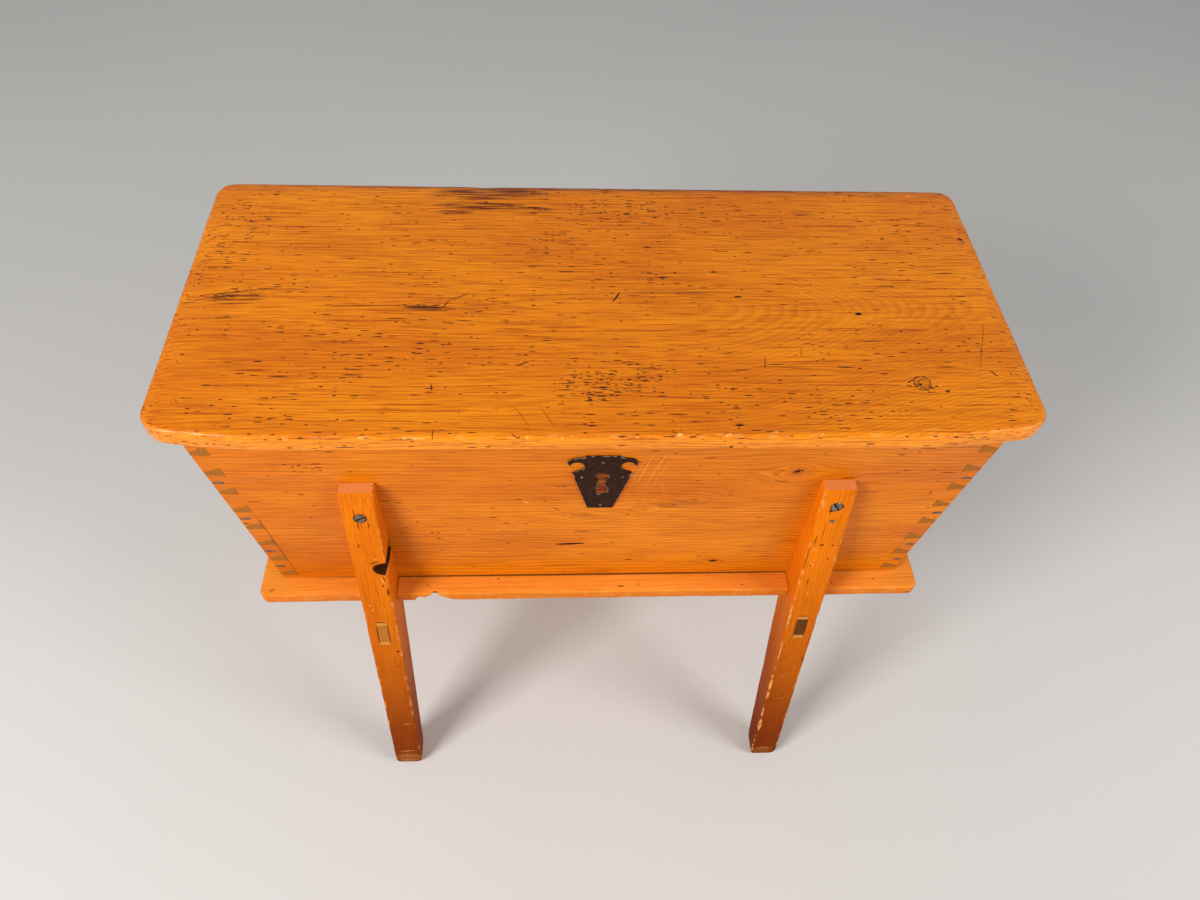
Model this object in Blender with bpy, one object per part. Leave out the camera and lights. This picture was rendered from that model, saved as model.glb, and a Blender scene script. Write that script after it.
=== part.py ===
"""Dough box on a splayed four-legged stand.

A pine box with canted, dovetailed ends sits on a bottom board that stands out as a lip all round.
The lip is notched for four leaning legs, which are screwed to the long boards.
Under the box each front and back leg are tied by a bearer with wedged through tenons.
The lid overhangs the box and swings on two strap hinges along the back.

Metres, +Z up. The front faces -Y, and the origin is on the floor under the middle of the object.
"""
import math

import bmesh
import bpy
from mathutils import Matrix, Vector

# Gap between pieces that touch
CLEARANCE = 0.0003

# Box of four boards
BOX_TOP_LENGTH = 0.942
BOX_DEPTH = 0.378
BOX_HEIGHT = 0.318
BOARD_THICKNESS = 0.022
END_CANT = math.radians(8.7)

# Dovetail pins on the end boards
PIN_COUNT = 8
PIN_TIP_WIDTH = 0.0055
PIN_ROOT_WIDTH = 0.0145
LOWEST_PIN_HEIGHT = 0.011
TOP_TAIL_HEIGHT = 0.042

# Bottom board
BOTTOM_THICKNESS = 0.020
BOTTOM_LIP = 0.0285
BOTTOM_CORNER_RADIUS = 0.012
BOTTOM_TOP_ROUND = 0.003
BOTTOM_UNDER_ROUND = 0.006
LEG_NOTCH_GAP = 0.0008

# Lid
LID_THICKNESS = 0.024
LID_OVERHANG = 0.031
LID_END_OVERHANG = 0.029
LID_FRONT_CORNER_RADIUS = 0.032
LID_BACK_CORNER_RADIUS = 0.027
LID_FRONT_BOW = 0.015
LID_FRONT_BOW_LENGTH = 0.140
LID_TOP_ROUND = 0.005
LID_UNDER_ROUND = 0.004

# Lid battens
BATTEN_WIDTH = 0.040
BATTEN_THICKNESS = 0.016
BATTEN_SPACING = 0.780
BATTEN_END_GAP = 0.015
BATTEN_SCREW_INSET = 0.040
BATTEN_SCREW_BITE = 0.014

# Stand
STAND_HEIGHT = 0.374
LEG_SPACING = 0.578
LEG_WIDTH = 0.041
LEG_TOP_DROP = 0.099
LEG_TOP_DEPTH = 0.016
LEG_SHOULDER = 0.006
LEG_EDGE_ROUND = 0.0025
FOOT_REACH = 0.1225
FOOT_DEPTH = 0.031

# Bearers and their wedged tenons
BEARER_WIDTH = 0.024
BEARER_HEIGHT = 0.060
TENON_WIDTH = 0.014
TENON_HEIGHT = 0.035
TENON_DROP = 0.0275
WEDGE_THICK = 0.007
WEDGE_THIN = 0.0015

# Leg screws, one through each leg top into the box
LEG_SCREW_HEAD_RADIUS = 0.0070
LEG_SCREW_SHANK_RADIUS = 0.0028
LEG_SCREW_DOME = 0.0016
LEG_SCREW_SLOT = 0.0018
LEG_SCREW_BITE = 0.016
LEFT_LEG_SCREW_DROP = 0.040
RIGHT_LEG_SCREW_DROP = 0.027

# Missing knot in the inner edge of the left front leg
KNOT_HOLE_DROP = 0.135
KNOT_HOLE_DEPTH = 0.0157
KNOT_HOLE_HEIGHT = 0.023

# Round nail in the right front leg
LEG_NAIL_DROP = 0.054
LEG_NAIL_HEAD_RADIUS = 0.0026
LEG_NAIL_HEAD_THICKNESS = 0.0012
LEG_NAIL_SHANK_RADIUS = 0.0013
LEG_NAIL_POINT_RADIUS = 0.0006
LEG_NAIL_BITE = 0.018

# T-headed cut nails in the front corners, with tails counted from the bottom
NAILED_TAILS = (0, 1, 3, 5)
CORNER_NAIL_INSET = 0.0085
CORNER_NAIL_HEAD_WIDTH = 0.0110
CORNER_NAIL_HEAD_THICKNESS = 0.0018
CORNER_NAIL_SHANK_WIDTH = 0.0046
CORNER_NAIL_POINT_WIDTH = 0.0016
CORNER_NAIL_GAUGE = 0.0036
CORNER_NAIL_BITE = 0.018

# Escutcheon, with heights measured down from its top edge
PLATE_DROP = 0.048
PLATE_HEIGHT = 0.1045
PLATE_THICKNESS = 0.0018
PLATE_TOP_WIDTH = 0.040
PLATE_STEP = 0.003
PLATE_SHOULDER_WIDTH = 0.0654
PLATE_SHOULDER_TOP = 0.036
PLATE_SHOULDER_END = 0.043
PLATE_FOOT_WIDTH = 0.0316
HORN_SPAN = 0.0824
HORN_TIP_DROP = 0.0122
HOOK_CENTRE = (0.0300, 0.0198)
HOOK_RADII = (0.0088, 0.0084)
HOOK_SWEEP = 265
BARB_TIP = (0.0357, 0.0325)
KEYHOLE_UPPER_DROP = 0.0394
KEYHOLE_UPPER_RADII = (0.0085, 0.0073)
KEYHOLE_LOWER_DROP = 0.0664
KEYHOLE_LOWER_RADII = (0.0082, 0.0092)
KEYHOLE_WAIST = 0.0105
PLATE_PIN_TOP_DROP = 0.0114
PLATE_PIN_SIDE_DROP = 0.0404
PLATE_PIN_SIDE_SPACING = 0.0480
PLATE_PIN_FOOT_RISE = 0.0072
PLATE_PIN_HEAD_RADIUS = 0.0019
PLATE_PIN_HEAD_HEIGHT = 0.0009
PLATE_PIN_SHANK_RADIUS = 0.0009
PLATE_PIN_BITE = 0.011

# Strap hinges
HINGE_SPACING = 0.600
HINGE_METAL = 0.0020
HINGE_PIN_RADIUS = 0.0022
HINGE_PIN_HEAD_RADIUS = 0.0036
HINGE_PIN_HEAD_LENGTH = 0.0015
HINGE_KNUCKLE_GAP = 0.0005
STRAP_EYE_END = -195
LEAF_EYE_END = -105
STRAP_WIDTH = 0.028
STRAP_LENGTH = 0.140
STRAP_SCREW_PLACES = (0.055, 0.118)
STRAP_SCREW_BITE = 0.016
LEAF_WIDTH = 0.060
LEAF_HEIGHT = 0.046
LEAF_SCREW_SPACING = 0.040
LEAF_SCREW_DROP = 0.032
LEAF_SCREW_BITE = 0.015
SMALL_SCREW_HEAD_RADIUS = 0.0036
SMALL_SCREW_SHANK_RADIUS = 0.0017
SMALL_SCREW_SLOT = 0.0010

# Slotted screws: how far each slot is turned from the one before
SLOT_TURN = math.radians(40)

# Where a domed head turns over, as shares of its radius and height
DOME_SHOULDER = (0.72, 0.62)

# Facets
SCREW_SEGMENTS = 12
NAIL_SEGMENTS = 8
KNUCKLE_STEPS = 12
CORNER_STEPS = 6
BOW_STEPS = 4
BOW_POWER = 1.5
EDGE_STEPS = 3
WORN_EDGE_STEPS = 2
PLATE_STEPS = 12
SMOOTH_ANGLE = math.radians(35)

# Levels and lines that several pieces share
BOTTOM_TOP = STAND_HEIGHT + BOTTOM_THICKNESS
BOX_LOW = BOTTOM_TOP + CLEARANCE
BOX_TOP = BOX_LOW + BOX_HEIGHT
LID_LOW = BOX_TOP + CLEARANCE
LEG_TOP = BOX_TOP - LEG_TOP_DROP
LEG_SHOULDER_LEVEL = STAND_HEIGHT - CLEARANCE
FACE = BOX_DEPTH / 2
INNER_FACE = FACE - BOARD_THICKNESS
LEG_LEAN = math.atan((FOOT_REACH - LEG_TOP_DEPTH) / LEG_TOP)
TENON_LEVEL = STAND_HEIGHT - TENON_DROP
KNUCKLE_BORE = HINGE_PIN_RADIUS + CLEARANCE
KNUCKLE_RADIUS = KNUCKLE_BORE + HINGE_METAL
HINGE_AXIS = Vector((0, FACE + CLEARANCE + KNUCKLE_RADIUS, LID_LOW - CLEARANCE - KNUCKLE_RADIUS))

# Finishes: colour, roughness, metallic
PINE = ((0.62, 0.26, 0.045), 0.32, 0.0)
LID_PINE = ((0.66, 0.29, 0.05), 0.28, 0.0)
LEG_WOOD = ((0.42, 0.14, 0.03), 0.40, 0.0)
WEDGE_WOOD = ((0.60, 0.32, 0.12), 0.50, 0.0)
DARK_IRON = ((0.035, 0.022, 0.016), 0.45, 0.8)
SCREW_STEEL = ((0.14, 0.11, 0.09), 0.45, 0.9)

SIDES = (("left", -1), ("right", 1))
FACES = (("front", -1), ("back", 1))


def clear_scene():
    for item in list(bpy.data.objects):
        bpy.data.objects.remove(item, do_unlink=True)


def make_material(name, finish):
    colour, roughness, metallic = finish
    result = bpy.data.materials.new(name)
    result.use_nodes = True
    shader = result.node_tree.nodes["Principled BSDF"]
    shader.inputs["Base Color"].default_value = (*colour, 1.0)
    shader.inputs["Roughness"].default_value = roughness
    shader.inputs["Metallic"].default_value = metallic
    return result


def make_object(name, solid, carrier=None):
    """Turn a bmesh in world places into an object, with its origin at its carrier's."""
    if carrier:
        solid.transform(Matrix.Translation(-carrier.location))
    bmesh.ops.recalc_face_normals(solid, faces=solid.faces)
    mesh = bpy.data.meshes.new(name)
    solid.to_mesh(mesh)
    solid.free()
    result = bpy.data.objects.new(name, mesh)
    result.parent = carrier
    bpy.context.scene.collection.objects.link(result)
    return result


def make_piece(name, solid, finish, carrier=None, smooth=False):
    result = make_object(name, solid, carrier)
    result.data.materials.append(make_material(name, finish))
    if smooth:
        result.data.shade_smooth()
        result.data.set_sharp_from_angle(angle=SMOOTH_ANGLE)
    return result


def make_cutter(name, solid):
    result = make_object(name + "_cutter", solid)
    result.hide_render = True
    result.display_type = "WIRE"
    return result


def cut(cutter, *pieces):
    for piece in pieces:
        modifier = piece.modifiers.new(cutter.name, "BOOLEAN")
        modifier.operation = "DIFFERENCE"
        modifier.solver = "EXACT"
        modifier.object = cutter


def prism(outline, low, high, place):
    """Extrude a 2-D outline between two levels; place(u, v, level) gives the 3-D point."""
    solid = bmesh.new()
    lower = [solid.verts.new(place(u, v, low)) for u, v in outline]
    upper = [solid.verts.new(place(u, v, high)) for u, v in outline]
    solid.faces.new(lower)
    solid.faces.new(upper)
    for index in range(len(outline)):
        solid.faces.new((lower[index - 1], lower[index], upper[index], upper[index - 1]))
    return solid


def along_x(y, z, x):
    return (x, y, z)


def along_y(x, z, y):
    return (x, y, z)


def block(low, high):
    outline = ((low[0], low[2]), (high[0], low[2]), (high[0], high[2]), (low[0], high[2]))
    return prism(outline, low[1], high[1], along_y)


def arc(centre, radii, start, end, steps):
    """Points on an ellipse between two angles in degrees, ends included."""
    points = []
    for step in range(steps + 1):
        angle = math.radians(start + (end - start) * step / steps)
        points.append((centre[0] + radii[0] * math.cos(angle), centre[1] + radii[1] * math.sin(angle)))
    return points


def axis_frame(point, direction):
    """Matrix that carries local +Z onto a direction through a point."""
    turn = Vector((0, 0, 1)).rotation_difference(Vector(direction)).to_matrix().to_4x4()
    return Matrix.Translation(Vector(point)) @ turn


def turned(profile, point, direction, segments):
    """Revolve (radius, height) pairs about an axis; the first and last pair lie on it."""
    solid = bmesh.new()
    rings = []
    for radius, height in profile[1:-1]:
        corners = arc((0, 0), (radius, radius), 0, 360 * (segments - 1) / segments, segments - 1)
        rings.append([solid.verts.new((x, y, height)) for x, y in corners])
    first = solid.verts.new((0, 0, profile[0][1]))
    last = solid.verts.new((0, 0, profile[-1][1]))
    for index in range(segments):
        solid.faces.new((first, rings[0][index], rings[0][index - 1]))
        solid.faces.new((last, rings[-1][index - 1], rings[-1][index]))
        for lower, upper in zip(rings, rings[1:]):
            solid.faces.new((lower[index - 1], lower[index], upper[index], upper[index - 1]))
    solid.transform(axis_frame(point, direction))
    return solid


def rounded_slab(
    half_length, half_depth, front_corner, back_corner, low, high, top_round, under_round, bow=None,
):
    """Flat board with rounded corners in plan and rounded upper and lower edges.

    A bow is a depth and a length: so far the front edge falls back at its ends, over that length.
    """
    bow_depth, bow_length = bow or (0, half_length)

    def bowed(x, y):
        share = max(0, abs(x) - half_length + bow_length) / bow_length
        return x, y + bow_depth * share**BOW_POWER * max(0, -y / half_depth)

    front_x = []
    if bow:
        step = (bow_length - front_corner) / BOW_STEPS
        rising = [half_length - bow_length + step * index for index in range(BOW_STEPS)]
        front_x = [-x for x in reversed(rising)] + rising
    edge = arc((under_round, low + under_round), (under_round, under_round), 270, 180, EDGE_STEPS)
    edge += arc((top_round, high - top_round), (top_round, top_round), 180, 90, EDGE_STEPS)
    solid = bmesh.new()
    rings = []
    for inset, height in edge:
        ring = []
        for quarter, (sign_x, sign_y) in enumerate(((1, 1), (-1, 1), (-1, -1), (1, -1))):
            corner = back_corner if sign_y > 0 else front_corner
            centre = (sign_x * (half_length - corner), sign_y * (half_depth - corner))
            radius = corner - inset
            ring += arc(centre, (radius, radius), 90 * quarter, 90 * quarter + 90, CORNER_STEPS)
            if (sign_x, sign_y) == (-1, -1):
                ring += [(x, inset - half_depth) for x in front_x]
        rings.append([solid.verts.new((*bowed(x, y), height)) for x, y in ring])
    solid.faces.new(rings[0])
    solid.faces.new(rings[-1])
    for lower, upper in zip(rings, rings[1:]):
        for index in range(len(lower)):
            solid.faces.new((lower[index - 1], lower[index], upper[index], upper[index - 1]))
    return solid


def end_line(height):
    """Outer face of the right end board: its distance from the middle at a height."""
    return BOX_TOP_LENGTH / 2 - (BOX_TOP - height) * math.tan(END_CANT)


END_UP = Vector((math.sin(END_CANT), math.cos(END_CANT)))
END_IN = Vector((-math.cos(END_CANT), math.sin(END_CANT)))
PIN_PITCH = (BOX_HEIGHT - LOWEST_PIN_HEIGHT - TOP_TAIL_HEIGHT) / (PIN_COUNT - 1)


def pin_tip(position):
    """Middle of a pin on the outer face; a half position lies between two pins."""
    height = BOX_LOW + LOWEST_PIN_HEIGHT + PIN_PITCH * position
    return Vector((end_line(height), height))


def pin_section(position, gap):
    """Pin outline in XZ, widened by a gap: outer low, inner low, inner high, outer high."""
    tip = pin_tip(position)
    root = tip + END_IN * (BOARD_THICKNESS + gap)
    tip_half = END_UP * (PIN_TIP_WIDTH / 2 + gap)
    root_half = END_UP * (PIN_ROOT_WIDTH / 2 + gap)
    return tip - tip_half, root - root_half, root + root_half, tip + tip_half


def long_board(name, sign):
    """Front or back board, with a socket for each pin cut into both ends."""
    edge = [(end_line(BOX_LOW), BOX_LOW)]
    for position in range(PIN_COUNT):
        edge += [tuple(corner) for corner in pin_section(position, CLEARANCE)]
    edge.append((end_line(BOX_TOP), BOX_TOP))
    outline = edge + [(-x, z) for x, z in reversed(edge)]
    return make_piece(name, prism(outline, sign * INNER_FACE, sign * FACE, along_y), PINE)


def end_board(name, sign):
    """Canted end board whose pins reach through the long boards."""
    slant = BOARD_THICKNESS / math.cos(END_CANT)
    rows = [((end_line(BOX_LOW), BOX_LOW), (end_line(BOX_LOW) - slant, BOX_LOW))]
    for position in range(PIN_COUNT):
        outer_low, inner_low, inner_high, outer_high = pin_section(position, 0)
        rows += [(outer_low, inner_low), (outer_high, inner_high)]
    rows.append(((end_line(BOX_TOP), BOX_TOP), (end_line(BOX_TOP) - slant, BOX_TOP)))

    solid = bmesh.new()

    def row_points(y):
        return [[solid.verts.new((sign * x, y, z)) for x, z in row] for row in rows]

    shoulders = INNER_FACE - CLEARANCE
    front, back = row_points(-shoulders), row_points(shoulders)
    solid.faces.new((*front[0], *reversed(back[0])))
    solid.faces.new((*front[-1], *reversed(back[-1])))
    for index in range(len(rows) - 1):
        for side in (0, 1):
            near_edge = (front[index][side], front[index + 1][side])
            solid.faces.new((*near_edge, back[index + 1][side], back[index][side]))
        is_pin = index % 2 == 1
        for level, direction in ((front, -1), (back, 1)):
            loop = [*level[index], *reversed(level[index + 1])]
            end_face = solid.faces.new(loop)
            if is_pin:
                pushed = bmesh.ops.extrude_discrete_faces(solid, faces=[end_face])["faces"][0]
                reach = direction * FACE - loop[0].co.y
                bmesh.ops.translate(solid, verts=pushed.verts, vec=(0, reach, 0))
    return make_piece(name, solid, PINE)


def leg_front(height):
    """Distance of a leg's outer face from the middle plane at a height."""
    return FACE + LEG_TOP_DEPTH + (LEG_TOP - height) * math.tan(LEG_LEAN)


def leg_back(height):
    """Distance of a leg's inner face from the middle plane, below the box."""
    foot = FACE + FOOT_REACH - FOOT_DEPTH
    return foot + (FACE - LEG_SHOULDER - foot) * height / LEG_SHOULDER_LEVEL


def leg(name, x, sign):
    """Leaning leg, housed over the bottom board so that its shoulder carries the box."""
    outline = [
        (FACE - LEG_SHOULDER, LEG_TOP),
        (leg_front(LEG_TOP), LEG_TOP),
        (leg_front(0), 0),
        (leg_back(0), 0),
        (leg_back(LEG_SHOULDER_LEVEL), LEG_SHOULDER_LEVEL),
    ]
    outline = [(sign * y, z) for y, z in outline]
    piece = make_piece(name, prism(outline, x - LEG_WIDTH / 2, x + LEG_WIDTH / 2, along_x), LEG_WOOD)
    bevel = piece.modifiers.new("worn_edges", "BEVEL")
    bevel.width = LEG_EDGE_ROUND
    bevel.segments = WORN_EDGE_STEPS
    bevel.limit_method = "ANGLE"
    near, far = sorted((0, sign * (FACE + CLEARANCE)))
    housing = block((x - LEG_WIDTH, near, LEG_SHOULDER_LEVEL), (x + LEG_WIDTH, far, BOX_TOP))
    cut(make_cutter(name + "_housing", housing), piece)
    return piece


def flare(y):
    """How far the mortise stands above the tenon, widening from the leg's back to its front."""
    start = leg_back(TENON_LEVEL)
    end = leg_front(TENON_LEVEL)
    return WEDGE_THIN + (WEDGE_THICK - WEDGE_THIN) * (y - start) / (end - start)


def mortise(name, x, sign):
    """Cutter for a leg's flared mortise, running out past both of its faces."""
    past = LEG_WIDTH
    inside = leg_back(TENON_LEVEL) - past
    outside = leg_front(TENON_LEVEL) + past
    half = TENON_HEIGHT / 2
    mouth = leg_back(TENON_LEVEL)
    outline = [
        (inside, TENON_LEVEL - half - WEDGE_THIN),
        (mouth, TENON_LEVEL - half - WEDGE_THIN),
        (outside, TENON_LEVEL - half - flare(outside)),
        (outside, TENON_LEVEL + half + flare(outside)),
        (mouth, TENON_LEVEL + half + WEDGE_THIN),
        (inside, TENON_LEVEL + half + WEDGE_THIN),
    ]
    outline = [(sign * y, z) for y, z in outline]
    half_width = TENON_WIDTH / 2 + CLEARANCE
    return make_cutter(name, prism(outline, x - half_width, x + half_width, along_x))


def wedge(name, x, sign, upward):
    """Thin wedge between tenon and mortise, flush with the leg's outer face."""
    def level(lift):
        return TENON_LEVEL + upward * (TENON_HEIGHT / 2 + lift)

    start = leg_back(level(CLEARANCE)) + CLEARANCE
    end = leg_front(level(CLEARANCE))
    thin = flare(start) - CLEARANCE
    thick = flare(end) - CLEARANCE
    outline = [
        (start, level(CLEARANCE)),
        (end, level(CLEARANCE)),
        (leg_front(level(thick)), level(thick)),
        (leg_back(level(thin)) + CLEARANCE, level(thin)),
    ]
    outline = [(sign * y, z) for y, z in outline]
    return make_piece(name, prism(outline, x - TENON_WIDTH / 2, x + TENON_WIDTH / 2, along_x), WEDGE_WOOD)


def mirrored(profile):
    """Close a front-half (distance, height) profile with its back half."""
    return [(-y, z) for y, z in profile] + [(y, z) for y, z in reversed(profile)]


def bearer(name, x):
    """Rail under the box, shouldered against both legs, with a tenon through each."""
    top = STAND_HEIGHT - CLEARANCE
    low = top - BEARER_HEIGHT
    body = mirrored([(leg_back(low) - CLEARANCE, low), (leg_back(top) - CLEARANCE, top)])
    piece = make_piece(name, prism(body, x - BEARER_WIDTH / 2, x + BEARER_WIDTH / 2, along_x), LEG_WOOD)
    tenon_low = TENON_LEVEL - TENON_HEIGHT / 2
    tenon_top = TENON_LEVEL + TENON_HEIGHT / 2
    bar = mirrored([(leg_front(tenon_low), tenon_low), (leg_front(tenon_top), tenon_top)])
    tenons = make_cutter(name + "_tenons", prism(bar, x - TENON_WIDTH / 2, x + TENON_WIDTH / 2, along_x))
    joined = piece.modifiers.new("tenons", "BOOLEAN")
    joined.operation = "UNION"
    joined.solver = "EXACT"
    joined.object = tenons
    return piece


def screw(name, point, outward, size, length, turn, finish, carrier=None):
    """Slotted countersunk screw and its hole; the head's rim lies at the point."""
    head, shank, dome, slot = size
    neck = shank - head
    profile = [
        (0, -length),
        (shank, shank - length),
        (shank, neck),
        (head, 0),
        (head * DOME_SHOULDER[0], dome * DOME_SHOULDER[1]),
        (0, dome),
    ]
    piece = make_piece(name, turned(profile, point, outward, SCREW_SEGMENTS), finish, carrier, smooth=True)
    groove = block((-2 * head, -slot / 2, dome - slot), (2 * head, slot / 2, dome + slot))
    groove.transform(axis_frame(point, outward) @ Matrix.Rotation(turn, 4, "Z"))
    cut(make_cutter(name + "_slot", groove), piece)
    hole = [
        (0, -length - CLEARANCE),
        (shank + CLEARANCE, -length - CLEARANCE),
        (shank + CLEARANCE, neck),
        (head + CLEARANCE, 0),
        (head + CLEARANCE, head),
        (0, head),
    ]
    return make_cutter(name + "_hole", turned(hole, point, outward, SCREW_SEGMENTS))


LEG_SCREW = (LEG_SCREW_HEAD_RADIUS, LEG_SCREW_SHANK_RADIUS, LEG_SCREW_DOME, LEG_SCREW_SLOT)
SMALL_SCREW = (SMALL_SCREW_HEAD_RADIUS, SMALL_SCREW_SHANK_RADIUS, CLEARANCE, SMALL_SCREW_SLOT)


def leg_nail(name, point, outward, length):
    """Flush round nail and its hole."""
    profile = [
        (0, -length),
        (LEG_NAIL_POINT_RADIUS, -length),
        (LEG_NAIL_SHANK_RADIUS, -LEG_NAIL_HEAD_THICKNESS),
        (LEG_NAIL_HEAD_RADIUS, -LEG_NAIL_HEAD_THICKNESS),
        (LEG_NAIL_HEAD_RADIUS, 0),
        (0, 0),
    ]
    make_piece(name, turned(profile, point, outward, NAIL_SEGMENTS), DARK_IRON, smooth=True)
    seat = -LEG_NAIL_HEAD_THICKNESS - CLEARANCE
    hole = [
        (0, -length - CLEARANCE),
        (LEG_NAIL_SHANK_RADIUS + CLEARANCE, -length - CLEARANCE),
        (LEG_NAIL_SHANK_RADIUS + CLEARANCE, seat),
        (LEG_NAIL_HEAD_RADIUS + CLEARANCE, seat),
        (LEG_NAIL_HEAD_RADIUS + CLEARANCE, LEG_NAIL_HEAD_THICKNESS),
        (0, LEG_NAIL_HEAD_THICKNESS),
    ]
    return make_cutter(name + "_hole", turned(hole, point, outward, NAIL_SEGMENTS))


def corner_nail(name, x, height):
    """Flush cut nail of even gauge, its head lying along the grain of the front board, and its hole."""
    length = BOARD_THICKNESS + CORNER_NAIL_BITE

    def shape(gap, rise):
        head = CORNER_NAIL_HEAD_WIDTH / 2 + gap
        shank = CORNER_NAIL_SHANK_WIDTH / 2 + gap
        point = CORNER_NAIL_POINT_WIDTH / 2 + gap
        seat = CORNER_NAIL_HEAD_THICKNESS + gap
        half = [(head, -rise), (head, seat), (shank, seat), (point, length + gap)]
        outline = half + [(-aside, depth) for aside, depth in reversed(half)]
        gauge = CORNER_NAIL_GAUGE / 2 + gap
        return prism(
            outline, height - gauge, height + gauge, lambda aside, depth, z: (x + aside, depth - FACE, z)
        )

    make_piece(name, shape(0, 0), DARK_IRON)
    return make_cutter(name + "_hole", shape(CLEARANCE, CORNER_NAIL_HEAD_THICKNESS))


def knot_hole(name, x):
    """Cutter for an oval bite out of the inner edge of a leg that stands left of the middle."""
    radii = (KNOT_HOLE_DEPTH, KNOT_HOLE_HEIGHT / 2)
    centre = (x + LEG_WIDTH / 2, LEG_TOP - KNOT_HOLE_DROP)
    outline = arc(centre, radii, 0, 360 * (SCREW_SEGMENTS - 1) / SCREW_SEGMENTS, SCREW_SEGMENTS - 1)
    return make_cutter(name, prism(outline, -FACE, -leg_front(0), along_y))


def plate_outline():
    """Escutcheon outline in XZ about its top middle: horns curl over two round hooks."""
    horn_root = (PLATE_TOP_WIDTH / 2 + PLATE_STEP / 2, PLATE_STEP)
    horn_tip = (HORN_SPAN / 2, HORN_TIP_DROP)
    horn_radii = (horn_tip[0] - horn_root[0], horn_root[1] - horn_tip[1])
    horn = arc((horn_root[0], horn_tip[1]), horn_radii, 90, 0, PLATE_STEPS // 2)
    hook = arc(HOOK_CENTRE, (HOOK_RADII[0], -HOOK_RADII[1]), 0, HOOK_SWEEP, PLATE_STEPS)
    half = [(PLATE_TOP_WIDTH / 2, 0), *horn, *hook, BARB_TIP]
    half += [
        (PLATE_SHOULDER_WIDTH / 2, PLATE_SHOULDER_TOP),
        (PLATE_SHOULDER_WIDTH / 2, PLATE_SHOULDER_END),
        (PLATE_FOOT_WIDTH / 2, PLATE_HEIGHT),
    ]
    half = [(x, -drop) for x, drop in half]
    return half + [(-x, z) for x, z in reversed(half)]


def keyhole_outline():
    """Two round lobes joined by a narrow waist."""
    upper_open = math.degrees(math.asin(KEYHOLE_WAIST / 2 / KEYHOLE_UPPER_RADII[0]))
    lower_open = math.degrees(math.asin(KEYHOLE_WAIST / 2 / KEYHOLE_LOWER_RADII[0]))
    upper = arc((0, -KEYHOLE_UPPER_DROP), KEYHOLE_UPPER_RADII, upper_open - 90, 270 - upper_open, PLATE_STEPS)
    lower = arc((0, -KEYHOLE_LOWER_DROP), KEYHOLE_LOWER_RADII, 90 + lower_open, 450 - lower_open, PLATE_STEPS)
    return upper + lower


def escutcheon(front_board):
    """Iron lock plate on the front board, with its keyhole and four round-headed pins."""
    top = BOX_TOP - PLATE_DROP
    near = -FACE - CLEARANCE - PLATE_THICKNESS

    def lifted(outline):
        return [(x, top + z) for x, z in outline]

    plate = make_piece(
        "escutcheon_plate",
        prism(lifted(plate_outline()), near, near + PLATE_THICKNESS, along_y),
        DARK_IRON,
    )
    keyhole = prism(lifted(keyhole_outline()), near - PLATE_THICKNESS, near + 2 * PLATE_THICKNESS, along_y)
    cut(make_cutter("keyhole", keyhole), plate)
    aside = PLATE_PIN_SIDE_SPACING / 2
    places = (
        ("top", 0, PLATE_PIN_TOP_DROP),
        ("left", -aside, PLATE_PIN_SIDE_DROP),
        ("right", aside, PLATE_PIN_SIDE_DROP),
        ("foot", 0, PLATE_HEIGHT - PLATE_PIN_FOOT_RISE),
    )
    for place, x, drop in places:
        name = "escutcheon_pin_" + place
        point = (x, near, top - drop)
        head = PLATE_PIN_HEAD_RADIUS
        shank = PLATE_PIN_SHANK_RADIUS
        length = PLATE_THICKNESS + PLATE_PIN_BITE
        profile = [
            (0, -length),
            (shank, -length + shank),
            (shank, CLEARANCE),
            (head, CLEARANCE),
            (head * DOME_SHOULDER[0], CLEARANCE + PLATE_PIN_HEAD_HEIGHT * DOME_SHOULDER[1]),
            (0, CLEARANCE + PLATE_PIN_HEAD_HEIGHT),
        ]
        make_piece(name, turned(profile, point, (0, -1, 0), NAIL_SEGMENTS), DARK_IRON, smooth=True)
        wide = shank + CLEARANCE
        hole = [(0, -length - CLEARANCE), (wide, -length - CLEARANCE), (wide, head), (0, head)]
        cut(make_cutter(name + "_hole", turned(hole, point, (0, -1, 0), NAIL_SEGMENTS)), plate, front_board)


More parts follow.
